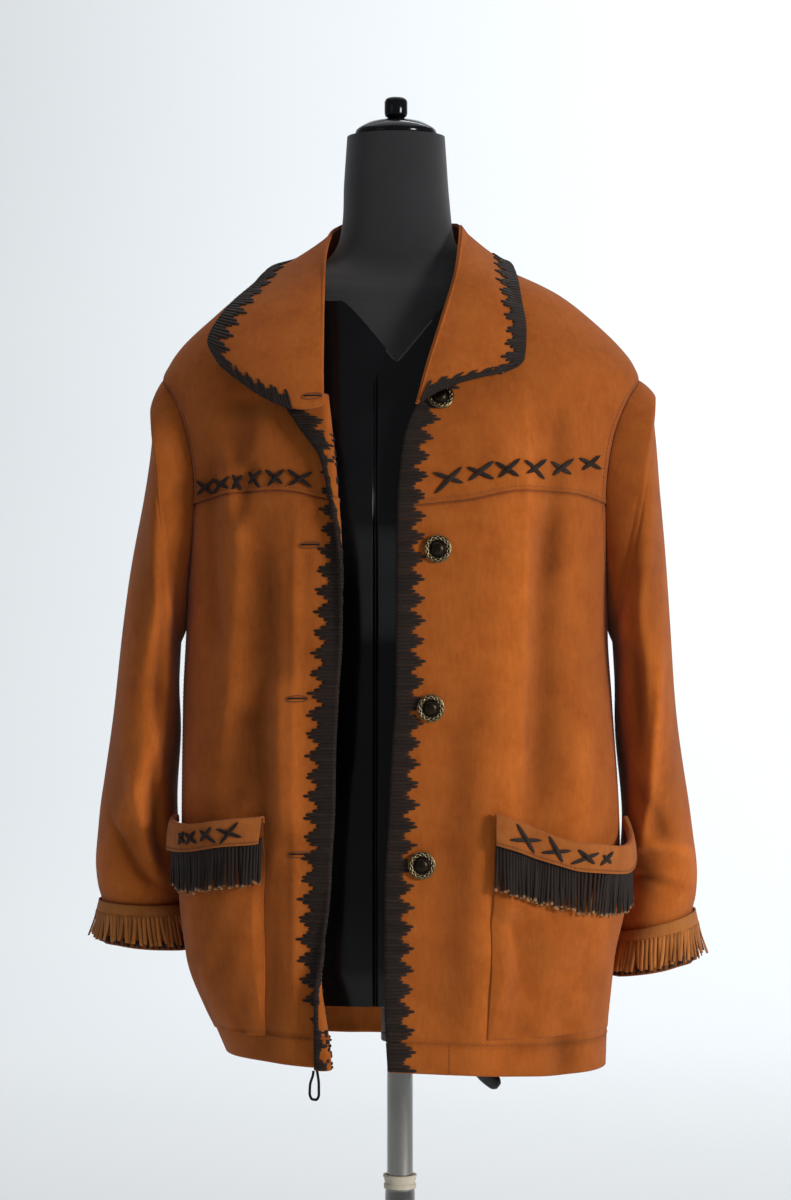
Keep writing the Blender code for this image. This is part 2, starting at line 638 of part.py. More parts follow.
def armhole_loop(side):
    """The armhole's seam from the armpit up the front, over the shoulder and down the back."""
    turn = np.arange(SLEEVE_TURNS) * 2 * math.pi / SLEEVE_TURNS
    height = (ARMPIT + ARMHOLE_TOP) / 2 - (ARMHOLE_TOP - ARMPIT) / 2 * np.cos(turn)
    front = np.sin(turn) >= 0
    angle_front = angle_at_depth(side, ARMHOLE_FRONT * np.abs(np.sin(turn)), height, True)
    angle_back = angle_at_depth(side, ARMHOLE_BACK * np.abs(np.sin(turn)), height, False)
    angle = np.where(front, angle_front, angle_back)
    return coat_point(angle, height), coat_normal(angle, height)


def sleeve_table(side):
    source = LEFT_SLEEVE if side > 0 else RIGHT_SLEEVE
    return {"ring": np.arange(1, len(source["outer"]) + 1, dtype=float), **source}


def sleeve_section(side, ring, turn):
    """A point of the sleeve from ring 1 to the cuff: an ellipse between the inner and the outer line.
    Turn 0 is beside the body and a quarter turn is the front."""
    tab = sleeve_table(side)
    ring, turn = np.broadcast_arrays(np.asarray(ring, float), np.asarray(turn, float))
    value = {name: follow(tab, name, ring) for name in tab}
    x = (value["outer"] + value["inner"]) / 2 - (value["outer"] - value["inner"]) / 2 * np.cos(turn)
    z = (value["outer_height"] + value["inner_height"]) / 2
    z = z - (value["outer_height"] - value["inner_height"]) / 2 * np.cos(turn)
    y = (value["front"] + value["back"]) / 2 - (value["back"] - value["front"]) / 2 * np.sin(turn)
    ruck = 0.0016 * np.sin(ring * 2.1 + turn * 2) * fade(ring, 2, 4)
    return np.stack([side * (x - ruck * np.cos(turn)), y, z], -1)


def sleeves():
    for side, word in ((1, "left"), (-1, "right")):
        turn = np.arange(SLEEVE_TURNS) * 2 * math.pi / SLEEVE_TURNS
        loop, body_normal = armhole_loop(side)
        rings = np.concatenate([np.arange(1, 8.1, 0.72), [8.4, 9.0]])
        outer = np.concatenate([loop[None], sleeve_section(side, rings[:, None], turn[None, :])])
        around = np.roll(outer, -1, 1) - np.roll(outer, 1, 1)
        down = np.gradient(outer, axis=0)
        normal = unit(np.cross(around, down)) * -side
        centre = outer.mean(1, keepdims=True)
        flip = np.sign(((outer - centre) * normal).sum(-1).mean())
        normal = normal * flip
        both = body_normal + normal[0]
        length = np.linalg.norm(both, axis=-1, keepdims=True)
        mitre = both / np.maximum(length, 0.4)
        normal[0] = mitre
        tangent = unit(around[0])
        away = np.cross(tangent, unit(mitre))
        away = away * np.sign((away * unit(outer[1] - outer[0])).sum(-1, keepdims=True))
        outer[0] = outer[0] + unit(away) * 0.0005
        inner = outer - normal * LEATHER
        if side > 0:
            outer, inner = outer[:, ::-1], inner[:, ::-1]
        turn_outwards(wall(f"{word}_sleeve", outer, inner, suede(), around=True))


def strand_strip(name, tops, band, tips, thickness, out, mat, around=False):
    """A narrow strip cut into a fringe below: one strand for each step, narrower at its tip.
    tops, band and tips are rows of points along the strip's outer face, and out is outwards."""
    count = len(tops) - (0 if around else 1)
    total = len(tops)
    verts = []
    for row in (tops, band):
        verts += list(row + out * thickness) + list(row)
    faces = []

    def at(row, layer, i):
        return (row * 2 + layer) * total + i % total

    narrow = 0.14
    for i in range(count):
        j = i + 1
        t_out, t_in, t_out2, t_in2 = at(0, 0, i), at(0, 1, i), at(0, 0, j), at(0, 1, j)
        b_out, b_in, b_out2, b_in2 = at(1, 0, i), at(1, 1, i), at(1, 0, j), at(1, 1, j)
        faces += [(b_out, b_out2, t_out2, t_out), (t_in, t_in2, b_in2, b_in), (t_out, t_out2, t_in2, t_in)]
        left = tips[i] + (tips[(i + 1) % total] - tips[i]) * narrow
        right = tips[i] + (tips[(i + 1) % total] - tips[i]) * (1 - narrow)
        sway = 0.0022 * math.sin(i * 2.4) * (left - tips[i]) / max(np.linalg.norm(left - tips[i]), 1e-9)
        drop = np.array([0, 0, 0.0025 * math.sin(i * 1.7)])
        s = len(verts)
        o = (out[i] + out[(i + 1) % total]) / 2 * thickness * 0.8
        verts += [left + sway + drop + o, right + sway + drop + o, right + sway + drop, left + sway + drop]
        faces += [
            (s, s + 1, b_out2, b_out), (s + 2, s + 3, b_in, b_in2),
            (s + 3, s, b_out, b_in), (s + 1, s + 2, b_in2, b_out2), (s + 3, s + 2, s + 1, s),
        ]
    if not around:
        end = total - 1
        faces.append((at(0, 0, 0), at(0, 1, 0), at(1, 1, 0), at(1, 0, 0)))
        faces.append((at(0, 0, end), at(1, 0, end), at(1, 1, end), at(0, 1, end)))
    return turn_outwards(build_object(name, verts, faces, mat, smooth=False))


def cuffs():
    """A suede band round each cuff, cut into fringe below its top."""
    for side, word in ((1, "left"), (-1, "right")):
        turn = np.arange(CUFF_STRANDS) * 2 * math.pi / CUFF_STRANDS

        def level(ring, lift):
            point = sleeve_section(side, ring, turn)
            centre = point.mean(0)
            out = unit((point - centre) * np.array([1.0, 0.8, 0.0]))
            return point + out * lift, out

        top, out = level(CUFF_BAND_START, 0.0010)
        band, out = level(CUFF_BAND_END, 0.0014)
        tips, out = level(CUFF_FRINGE_END, 0.0024)
        strand_strip(f"{word}_cuff_fringe", top, band, tips, 0.0015, out, suede(), around=True)


# Collar

COLLAR_STATIONS = 31
COLLAR_FALL = (0.09, 0.20, 0.42, 0.66, 0.90, 1.0)


def collar_middle(place, around_fold):
    """The collar's middle surface: rises from the neckline, turns over its fold and falls to its edge."""
    at = {name: follow(COLLAR, name, place) for name in COLLAR}
    base = np.stack([at["base_x"], at["base_y"], at["base_z"]], -1)
    fold = np.stack([at["fold_x"], at["fold_y"], at["fold_z"]], -1)
    mid = np.stack([at["mid_x"], at["mid_y"], at["mid_z"]], -1)
    edge = np.stack([at["edge_x"], at["edge_y"], at["edge_z"]], -1)
    if around_fold <= 0:
        return base + (fold - base) * (1 + around_fold)
    t = around_fold
    straight = fold * (1 - t) ** 2 + (2 * mid - (fold + edge) / 2) * 2 * t * (1 - t) + edge * t * t
    return straight


def collar(surface):
    """The collar, pushed clear of the coat under it."""
    place = np.linspace(-6, 6, COLLAR_STATIONS)
    stops = (-1.0, -0.55, -0.12) + COLLAR_FALL
    points = np.stack([collar_middle(place, s) for s in stops])
    clear = {0: 0.0005, 1: 0.0022, 2: 0.004}
    for r in range(1, len(stops)):
        lead = clear.get(r, 0.0056 if r < len(stops) - 2 else 0.0085)
        for c in range(len(place)):
            if r < 3 and abs(place[c]) < 2.4:
                continue
            found, normal, _, distance = surface.find_nearest(Vector(points[r, c]))
            gap = (Vector(points[r, c]) - found).dot(normal)
            if gap < lead:
                points[r, c] += np.array(normal) * (lead - gap)
    along = np.gradient(points, axis=1)
    down = np.gradient(points, axis=0)
    normal = unit(np.cross(down, along))
    if normal[5, COLLAR_STATIONS // 2, 1] < 0:
        normal = -normal
    outer = points + normal * LEATHER / 2
    inner = points - normal * LEATHER / 2
    turn_outwards(wall("collar", outer, inner, suede()))
    rows, cols = outer.shape[:2]
    path = [(r, 0, r, 1) for r in range(4, rows - 1)]
    path.append((rows - 1, 0, rows - 2, 1))
    path += [(rows - 1, c, rows - 2, c) for c in range(1, cols - 1)]
    path.append((rows - 1, cols - 1, rows - 2, cols - 2))
    path += [(r, cols - 1, r, cols - 2) for r in range(rows - 2, 3, -1)]
    track = np.array([[outer[r, c], inner[r, c], outer[i, j], inner[i, j]] for r, c, i, j in path])
    corners = np.array([(r == rows - 1) and c in (0, cols - 1) for r, c, _, _ in path])
    beside = corners | np.roll(corners, 1) | np.roll(corners, -1)
    lift = np.where(corners, 0.0020, np.where(beside, 0.0014, 0.0011))[:, None]
    edging("collar_edging", track, (3, 4, 5), lift, 0.55)


def surface_tree(facets_list):
    """A search tree of a set of grids, for placing what lies on them."""
    verts, faces = [], []
    for grid in facets_list:
        rows, cols = grid.shape[:2]
        start = len(verts)
        verts += [Vector(p) for p in grid.reshape(-1, 3)]
        for r in range(rows - 1):
            for c in range(cols - 1):
                a = start + r * cols + c
                faces += [(a, a + 1, a + cols + 1), (a, a + cols + 1, a + cols)]
    return BVHTree.FromPolygons(verts, faces)


def coat_skin():
    """The whole outer surface from the armpit to the neckline, closer than the panels' own grids."""
    heights = np.concatenate([np.linspace(1.18, 1.32, 10), SHOULDER_ROWS])[:, None]
    angles = np.linspace(0, 2 * math.pi, 73)[None, :]
    return surface_tree([coat_point(angles, np.broadcast_to(heights, (len(heights), 73)))])


# Pockets

POCKET_STATIONS = 12
POCKET_LIFT = 0.0030
# The band's distance from the pocket at its lower edge, its middle and the mouth, where it is sewn on
BAND_OFF = np.array([0.0050, 0.0038, SEAM])
POCKET_INNER = {1: (0.0870, 0.0800), -1: (0.1340, 0.1340)}


def pocket_point(side, along, height, lift):
    """A point of the pocket layer: along from the ridge to the side, moved out from the front panel."""
    upper, lower = POCKET_INNER[side]
    share = np.clip((height - POCKET_FOOT) / (0.89 - POCKET_FOOT), 0, 1)
    first = angle_at_x(side * (lower + (upper - lower) * share), height)
    last = angle_at_depth(side, 0.030, height)
    angle = first + (last - first) * along
    return coat_point(angle, height) + coat_normal(angle, height) * lift[..., None], coat_normal(angle, height)


def pockets(trees):
    """Pocket layers, sewn to the fronts at their lower corners and standing off at their mouths."""
    for side, word in ((1, "left"), (-1, "right")):
        tab = LEFT_POCKET if side > 0 else RIGHT_POCKET
        along = np.linspace(0, 1, POCKET_STATIONS)
        top = follow(tab, "top", along)
        depth = follow(tab, "depth", along)
        stand = follow(tab, "stand_off", along)
        shares = np.array([0, 0.18, 0.40, 0.62, 0.82, 1.0])[:, None]
        height = POCKET_FOOT + (top - POCKET_FOOT)[None, :] * shares
        lift = POCKET_LIFT + stand[None, :] * shares**1.6
        inner, normal = pocket_point(side, along[None, :], height, lift)
        for corner in (0, -1):
            hit = trees[word].ray_cast(Vector(inner[0, corner]), Vector(-normal[0, corner]), 0.02)[0]
            inner[0, corner] = np.array(hit) + normal[0, corner] * SEAM
        outer = inner + normal * LEATHER
        turn_outwards(wall(f"{word}_pocket", outer, inner, suede()))
        band_rows = np.array([0, 0.5, 1.0])[:, None]
        band_height = top[None, :] - depth[None, :] * (1 - band_rows)
        band_share = np.clip((band_height - POCKET_FOOT) / (top - POCKET_FOOT)[None, :], 0, 1)
        band_lift = POCKET_LIFT + stand[None, :] * band_share**1.6 + LEATHER + BAND_OFF[:, None]
        band_in, band_n = pocket_point(side, along[None, :], band_height, band_lift)
        turn_outwards(wall(f"{word}_pocket_band", band_in + band_n * 0.0018, band_in, suede()))
        pocket_fringe(side, word, tab)
        band_face = band_in + band_n * 0.0018
        length = np.linalg.norm(np.diff(band_face[1], axis=0), axis=1).sum()
        tree = surface_tree([band_face])
        for k, middle in enumerate(POCKET_CROSSES):
            lay_cross(f"{word}_pocket_cross_{k + 1}", band_place(side, tab, middle, length), 0.021, 0.015, tree)


def band_place(side, tab, middle, length):
    """Places on the face of a pocket band, at distances from its point at the share middle of its length."""

    def place(along, up):
        share = np.array([middle + along / length])
        top = follow(tab, "top", share)
        depth = follow(tab, "depth", share)
        height = top - depth / 2 + up
        rise = np.clip(1 - depth / 2 / (top - POCKET_FOOT), 0, 1)
        lift = POCKET_LIFT + follow(tab, "stand_off", share) * rise**1.6
        point, normal = pocket_point(side, share, height, lift + LEATHER + 0.0062)
        return point[0], normal[0]

    return place


def pocket_fringe(side, word, tab):
    """The dark fringe behind the pocket band: a strip under the band with the strands below it."""
    along = np.linspace(0.012, 0.988, POCKET_STRANDS + 1)
    top = follow(tab, "top", along)
    depth = follow(tab, "depth", along)
    stand = follow(tab, "stand_off", along)
    fringe = follow(tab, "fringe", along)

    def row(drop, extra):
        height = top - drop
        share = np.clip((height - POCKET_FOOT) / (top - POCKET_FOOT), 0, 1)
        lift = POCKET_LIFT + stand * share**1.6 + LEATHER + extra
        return pocket_point(side, along, height, lift)

    tops, out = row(depth - 0.007, 0.0010)
    band, out = row(depth + 0.0005, 0.0010)
    tips, out = row(depth + fringe, 0.0026)
    strand_strip(f"{word}_pocket_fringe", tops, band, tips, 0.0014, out, dark_lace())


# Lacing crosses and buttons

def cast(tree, x, z, reach=0.4):
    """The place on a front panel seen from the front at x, z, and its normal."""
    hit, normal, _, _ = tree.ray_cast(Vector((x, -reach, z)), Vector((0, 1, 0)))
    if hit is None:
        return None
    n = np.array(normal)
    if n[1] > 0:
        n = -n
    return np.array(hit), n


def lay_cross(name, place, width, height, tree):
    """Two crossing thongs as one flat piece. place gives the surface's point and normal at distances
    along and up from the middle, and tree is the panel's own faces."""
    half_w, half_h, bar = width / 2, height / 2, 0.0021
    spread = math.atan2(half_h, half_w)
    reach = math.hypot(half_w, half_h)
    outline = [(0.0, 0.0)]
    for arm, notch_turn in (
        (spread, math.pi / 2), (math.pi - spread, math.pi), (math.pi + spread, -math.pi / 2), (-spread, 0.0),
    ):
        c, s = math.cos(arm), math.sin(arm)
        outline.append((reach * c + bar * s, reach * s - bar * c))
        outline.append((reach * c - bar * s, reach * s + bar * c))
        half_gap = spread if notch_turn in (0.0, math.pi) else math.pi / 2 - spread
        notch = bar / math.sin(half_gap)
        outline.append((notch * math.cos(notch_turn), notch * math.sin(notch_turn)))
    base, top = [], []
    for px, pz in outline:
        point, normal = place(px, pz)
        hit = tree.ray_cast(Vector(point + normal * 0.03), Vector(-normal), 0.06)[0]
        point = np.array(hit) if hit else point
        base.append(point + normal * CROSS_LIFT)
        top.append(point + normal * (CROSS_LIFT + LACE))
    count = len(outline)
    faces = []
    ring = list(range(1, count))
    for i, a in enumerate(ring):
        b = ring[(i + 1) % len(ring)]
        faces += [(0, b, a), (count, count + a, count + b), (a, b, count + b, count + a)]
    turn_outwards(build_object(name, base + top, faces, dark_lace(), smooth=False))


def yoke_place(x, z):
    """Places on the yoke at distances from the point that lies x across and z up."""
    centre = angle_at_x(x, z)
    speed = np.linalg.norm(coat_point(centre + 1e-3, z) - coat_point(centre - 1e-3, z)) / 2e-3

    def place(along, up):
        angle = centre + along / speed
        return coat_point(angle, z + up), coat_normal(angle, z + up)

    return place


def lay_button(name, x, z, tree):
    """A domed button with a raised rim, sewn flat on the front."""
    samples = [cast(tree, x, z)]
    for k in range(8):
        a = k * math.pi / 4
        samples.append(cast(tree, x + BUTTON_RADIUS * math.cos(a), z + BUTTON_RADIUS * math.sin(a)))
    samples = [s for s in samples if s is not None]
    normal = unit(np.mean([s[1] for s in samples], 0))
    centre = samples[0][0]
    lift = max(float((s[0] - centre) @ normal) for s in samples) + 0.0004
    base = centre + normal * lift
    u = unit(np.cross(normal, np.array([0.0, 0.0, 1.0])))
    v = np.cross(normal, u)
    profile = (
        (0.62, 0.0), (0.90, 0.0008), (1.0, 0.0024), (0.88, 0.0040), (0.62, 0.0030), (0.50, 0.0046), (0.25, 0.0064),
    )
    sides = 14
    verts = [base]
    for share, rise in profile:
        for k in range(sides):
            a = k * 2 * math.pi / sides
            verts.append(base + (u * math.cos(a) + v * math.sin(a)) * share * BUTTON_RADIUS + normal * rise)
    verts.append(base + normal * (profile[-1][1] + 0.0004))
    faces = []
    top = len(verts) - 1
    last = 1 + (len(profile) - 1) * sides
    for i in range(sides):
        j = (i + 1) % sides
        faces += [(0, 1 + i, 1 + j), (top, last + j, last + i)]
        for r in range(len(profile) - 1):
            low = 1 + r * sides
            faces.append((low + j, low + i, low + sides + i, low + sides + j))
    turn_outwards(build_object(name, verts, faces, aged_brass()))


LACE_LOOP = table(
    "across depth height",
    (-0.0826, -0.1506, 0.6513), (-0.0832, -0.1510, 0.6470), (-0.0858, -0.1518, 0.6385), (-0.0862, -0.1522, 0.6300),
    (-0.0838, -0.1522, 0.6245), (-0.0800, -0.1520, 0.6240), (-0.0775, -0.1516, 0.6290), (-0.0776, -0.1510, 0.6390),
    (-0.0792, -0.1506, 0.6513),
)


def lace_loop():
    """The loop of lacing left hanging where the right front's edging ends at the hem."""
    curve = bpy.data.curves.new("lace_loop", "CURVE")
    curve.dimensions = "3D"
    curve.bevel_depth = 0.0013
    curve.bevel_resolution = 1
    curve.use_fill_caps = True
    row = {"row": np.arange(len(LACE_LOOP["across"]), dtype=float), **LACE_LOOP}
    at = np.linspace(0, len(LACE_LOOP["across"]) - 1, 15)
    spline = curve.splines.new("POLY")
    spline.points.add(len(at) - 1)
    for point, a in zip(spline.points, at):
        point.co = (*(float(follow(row, name, a)) for name in LACE_LOOP), 1.0)
    curve.materials.append(dark_lace())
    obj = bpy.data.objects.new("lace_loop", curve)
    collection().objects.link(obj)


# Dress form and stand

def form_point(angle, height):
    """A point of the dress form's skin."""
    angle, height = np.broadcast_arrays(np.asarray(angle, float), np.asarray(height, float))
    front, rear = follow(FORM, "front", height), follow(FORM, "back", height)
    middle = (front + rear) / 2
    n = follow(FORM, "squareness", height)
    half = follow(FORM, "half_width", height)
    r = (np.abs(np.sin(angle) / half) ** n + np.abs(np.cos(angle) / (rear - middle)) ** n) ** (-1 / n)
    return np.stack([follow(FORM, "centre", height) + r * np.sin(angle), middle - r * np.cos(angle), height], -1)


def ring_solid(name, points, mat):
    """A closed solid from rings of points, bottom ring first, closed at both ends to their centres."""
    rows, cols = points.shape[:2]
    verts = list(points.reshape(-1, 3))
    verts += [points[0].mean(0), points[-1].mean(0)]
    low, high = len(verts) - 2, len(verts) - 1
    faces = []
    for c in range(cols):
        d = (c + 1) % cols
        faces.append((low, d, c))
        faces.append((high, (rows - 1) * cols + c, (rows - 1) * cols + d))
        for r in range(rows - 1):
            faces.append((r * cols + c, r * cols + d, (r + 1) * cols + d, (r + 1) * cols + c))
    return turn_outwards(build_object(name, verts, faces, mat))


def dress_form():
    angle = np.linspace(0, 2 * math.pi, 24, endpoint=False)[None, :]
    front = np.clip(np.cos(angle), 0, 1)
    split = NECK_COVER_SIDE - NECK_COVER_DIP * front**3
    shares = np.linspace(0, 1, 15)[:, None]
    torso = form_point(angle, FORM_BOTTOM + (split - HALF_SEAM - FORM_BOTTOM) * shares)
    ring_solid("form_torso", torso, gloss_black())
    top = FORM["height"][-1]
    shares = np.array([0, 0.10, 0.18, 0.25, 0.32, 0.42, 0.55, 0.75, 1.0])[:, None]
    neck = form_point(angle, split + HALF_SEAM + (top - split - HALF_SEAM) * shares)
    ring_solid("form_neck", neck, jersey_black())
    centre = (-0.004, 0.009, top + SEAM)
    dome = ((0.040, 0.0), (0.041, 0.004), (0.036, 0.010), (0.022, 0.0155), (0.010, 0.017))
    lathe("neck_cap", dome, centre, gloss_black())
    knob_at = (centre[0], centre[1], centre[2] + dome[-1][1] + SEAM)
    lathe("neck_knob", ((0.007, 0.0), (0.0115, 0.003), (0.0115, 0.019), (0.0085, 0.0225)), knob_at, gloss_black(), 20)


def stand():
    plate = (
        (BASE_RADIUS - 0.002, 0.0), (BASE_RADIUS, 0.002), (BASE_RADIUS, 0.008),
        (BASE_RADIUS - 0.004, BASE_THICKNESS), (0.024, BASE_THICKNESS),
    )
    lathe("base", plate, (0, 0, 0), base_paint(), 40)
    tube_wall("outer_tube", OUTER_TUBE_RADIUS, POLE_RADIUS + 0.0004, BASE_THICKNESS + SEAM, TUBE_TOP, chrome())
    tube_wall("tube_collar", 0.0170, POLE_RADIUS + 0.0004, TUBE_TOP + SEAM, TUBE_TOP + 0.014, cream_plastic())
    pole_top = FORM_BOTTOM - 2 * SEAM
    lathe("inner_pole", ((POLE_RADIUS, POLE_LOW), (POLE_RADIUS, pole_top)), (0, 0, 0), chrome())
    tube_wall("pole_clamp", CLAMP_RADIUS, POLE_RADIUS + SEAM, CLAMP_LOW, FORM_BOTTOM - 0.0007, base_paint())


def tube_wall(name, outer_radius, bore_radius, low, high, mat, sides=24):
    """A plain tube about the pole's axis."""
    turn = np.linspace(0, 2 * math.pi, sides, endpoint=False)
    ring = np.stack([np.cos(turn), np.sin(turn)], -1)
    rows = []
    # The bore's flats, not its corners, keep clear of the pole
    bore = bore_radius / math.cos(math.pi / sides)
    for radius, height in ((outer_radius, low), (outer_radius, high), (bore, high), (bore, low)):
        rows.append(np.concatenate([ring * radius, np.full((sides, 1), height)], 1))
    verts = np.concatenate(rows)
    faces = []
    for i in range(sides):
        j = (i + 1) % sides
        for k in range(4):
            a, b = k * sides, ((k + 1) % 4) * sides
            faces.append((a + i, a + j, b + j, b + i))
    return turn_outwards(build_object(name, verts, faces, mat))


def height_lever():
    """The black clamp lever beside the pole, under the hem."""
    path = (
        (LEVER_ROOT, 0.676), (0.0310, 0.673), (0.0470, 0.6625), (0.0660, 0.6455), (0.0860, 0.6250), (0.0990, 0.6140),
    )
    half = (0.0020, 0.0078, 0.0075, 0.0070, 0.0080, 0.0055)
    verts = []
    for i, ((x, z), h) in enumerate(zip(path, half)):
        a = path[max(i - 1, 0)]
        b = path[min(i + 1, len(path) - 1)]
        length = math.hypot(b[0] - a[0], b[1] - a[1])
        nx, nz = -(b[1] - a[1]) / length, (b[0] - a[0]) / length
        if i == 0:
            nx, nz = 0.0, 1.0
        for y in (-0.0075, 0.0075):
            verts += [(x + nx * h, y, z + nz * h), (x - nx * h, y, z - nz * h)]
    faces = []
    for i in range(len(path) - 1):
        a, b = i * 4, (i + 1) * 4
        faces += [(a, b, b + 1, a + 1), (a + 2, a + 3, b + 3, b + 2), (a, a + 2, b + 2, b), (a + 1, b + 1, b + 3, a + 3)]
    end = (len(path) - 1) * 4
    faces += [(0, 1, 3, 2), (end, end + 2, end + 3, end + 1)]
    turn_outwards(build_object("height_lever", verts, faces, gloss_black()))


def clear_scene():
    for obj in list(bpy.data.objects):
        bpy.data.objects.remove(obj, do_unlink=True)


def main():
    clear_scene()
    edges, facets = fronts()
    back()
    for word in ("left", "right"):
        other_way, base, reach = ((0, 3, 4), 0.0006, 1.0) if word == "left" else ((1, 2, 5), 0.0010, 0.35)
        edging(f"{word}_front_edging", edges[word], other_way, base, reach)
    sleeves()
    cuffs()
    collar(coat_skin())
    grids = {name: grid for name, (grid, _) in facets.items()}
    pockets({word: surface_tree([grids[f"{word}_front"]]) for word in ("left", "right")})
    for word, crosses in (("left", LEFT_CROSSES), ("right", RIGHT_CROSSES)):
        tree = surface_tree([grids[f"{word}_yoke"]])
        for k, (x, z, width) in enumerate(zip(*crosses.values())):
            lay_cross(f"{word}_yoke_cross_{k + 1}", yoke_place(x, z), width, 0.019, tree)
    tree = surface_tree([grids["left_front"], grids["left_yoke"]])
    for k, (x, z) in enumerate(zip(BUTTONS["across"], BUTTONS["height"])):
        lay_button(f"button_{k + 1}", x, z, tree)
    lace_loop()
    dress_form()
    stand()
    height_lever()


main()
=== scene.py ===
import math

import bmesh
import bpy
import numpy as np
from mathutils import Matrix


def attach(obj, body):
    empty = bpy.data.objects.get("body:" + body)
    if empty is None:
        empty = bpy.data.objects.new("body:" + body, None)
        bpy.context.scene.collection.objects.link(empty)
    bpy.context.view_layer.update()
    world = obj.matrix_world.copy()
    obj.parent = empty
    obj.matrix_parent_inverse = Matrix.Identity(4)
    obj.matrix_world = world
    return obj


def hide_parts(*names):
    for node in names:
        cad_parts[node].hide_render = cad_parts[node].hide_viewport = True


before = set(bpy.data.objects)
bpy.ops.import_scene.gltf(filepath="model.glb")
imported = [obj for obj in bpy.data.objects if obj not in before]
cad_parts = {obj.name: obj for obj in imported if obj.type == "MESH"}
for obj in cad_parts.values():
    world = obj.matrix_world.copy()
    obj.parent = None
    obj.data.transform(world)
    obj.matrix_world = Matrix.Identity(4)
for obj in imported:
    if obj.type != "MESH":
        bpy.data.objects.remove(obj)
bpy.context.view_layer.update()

# Camera: level with the coat's waist, 3.2 m in front of it, where one millimetre of the coat is one
# pixel of the 791 x 1200 frame.
CAMERA_AT = (-0.0045, -3.2, 1.10)
scene = bpy.context.scene
lens = bpy.data.cameras.new("camera")
lens.lens, lens.sensor_width = 96.0, 36.0
camera = bpy.data.objects.new("camera", lens)
camera.location, camera.rotation_euler = CAMERA_AT, (math.pi / 2, 0, 0)
scene.collection.objects.link(camera)
scene.camera = camera
scene.view_settings.view_transform = "Standard"


# Stand: a round painted base on the floor, a chromed outer tube with a cream bush in a plastic collar, a
# thinner chromed pole that slides in it, and a clamp with a black lever under the form.
def table(columns, *rows):
    """Rows of numbers under named columns, as one array for each column."""
    return {name: np.array([row[i] for row in rows], float) for i, name in enumerate(columns.split())}


def follow(tab, column, at):
    """A smooth curve through one column of a table, with no overshoot: a cubic between neighbours, whose
    slope at each row is the harmonic mean of the slopes on both sides."""
    x, y = next(iter(tab.values())), tab[column]
    at = np.clip(np.asarray(at, float), x[0], x[-1])
    step = np.diff(x)
    slope = np.diff(y) / step
    before, after = slope[:-1], slope[1:]
    inner = np.where(after * before > 0, 2 * after * before / (after + before + 1e-15), 0.0)
    tangent = np.concatenate([[slope[0]], inner, [slope[-1]]])
    i = np.clip(np.searchsorted(x, at) - 1, 0, len(step) - 1)
    t = (at - x[i]) / step[i]
    rise = y[i + 1] - y[i]
    return (y[i] + rise * t * t * (3 - 2 * t)
            + step[i] * (tangent[i] * t * (1 - t) ** 2 - tangent[i + 1] * t * t * (1 - t)))


def follow_all(tab, at):
    return {name: follow(tab, name, at) for name in tab}


def unit(v):
    return v / np.maximum(np.linalg.norm(v, axis=-1, keepdims=True), 1e-12)


def fade(value, start, end):
    """0 before start, 1 after end, smooth between."""
    t = np.clip((value - start) / (end - start), 0.0, 1.0)
    return t * t * (3 - 2 * t)


def bell(value, middle, spread):
    """1 at the middle and near 0 two spreads away."""
    return np.exp(-(((value - middle) / spread) ** 2))


def all_round(count):
    """Equal steps once round, without the last, which is the first again."""
    return np.linspace(0, 2 * math.pi, count, endpoint=False)


def quads(rows, cols, around=False):
    """The four corners of each cell in a grid of points that are numbered row by row."""
    r, c = np.meshgrid(np.arange(rows - 1), np.arange(cols if around else cols - 1), indexing="ij")
    after = (c + 1) % cols
    return np.stack([r * cols + c, r * cols + after, (r + 1) * cols + after, (r + 1) * cols + c], -1)


def mesh_of(name, points, faces, finish):
    """A smooth mesh of four-cornered faces."""
    mesh = bpy.data.meshes.new(name)
    mesh.vertices.add(len(points))
    mesh.vertices.foreach_set("co", points.ravel())
    mesh.loops.add(faces.size)
    mesh.loops.foreach_set("vertex_index", faces.ravel().astype(np.int32))
    mesh.polygons.add(len(faces))
    mesh.polygons.foreach_set("loop_start", np.arange(0, faces.size, 4, dtype=np.int32))
    mesh.update(calc_edges=True)
    mesh.polygons.foreach_set("use_smooth", np.ones(len(faces), bool))
    mesh.materials.append(finish)
    return mesh


def placed(name, data, stands_for, body):
    """An object that moves with a body and takes the place of the solids that it stands for."""
    obj = bpy.data.objects.new(name, data)
    scene.collection.objects.link(obj)
    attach(obj, body)
    if stands_for:
        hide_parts(*([stands_for] if isinstance(stands_for, str) else stands_for))
    return obj


def piece(name, grids, finish, stands_for=(), body="form", around=False, shade=None, flip=False, keep=None,
          sharp=None):
    """One mesh from one grid of points (rows, columns, 3), or from many alike (count, rows, columns, 3).
    around joins the last column to the first, keep marks the cells that exist, and shade is a number for
    each point that the finish darkens or lightens by. Its slot is the finish's own."""
    grids = np.asarray(grids, float)
    many = grids if grids.ndim == 4 else grids[None]
    count, rows, cols = many.shape[:3]
    quad = quads(rows, cols, around)
    quad = (quad if keep is None else quad[keep]).reshape(-1, 4)
    if flip:
        quad = quad[:, ::-1]
    faces = (np.arange(count)[:, None, None] * rows * cols + quad[None]).reshape(-1, 4)
    used, faces = np.unique(faces, return_inverse=True)
    mesh = mesh_of(name, many.reshape(-1, 3)[used], faces.reshape(-1, 4), finish)
    value = np.ones(len(used)) if shade is None else np.broadcast_to(shade, many.shape[:3]).reshape(-1)[used]
    mesh.attributes.new("shade", "FLOAT", "POINT").data.foreach_set("value", value.astype(np.float32))
    if sharp:
        mesh.set_sharp_from_angle(angle=math.radians(sharp))
    return placed(name, mesh, stands_for, body)


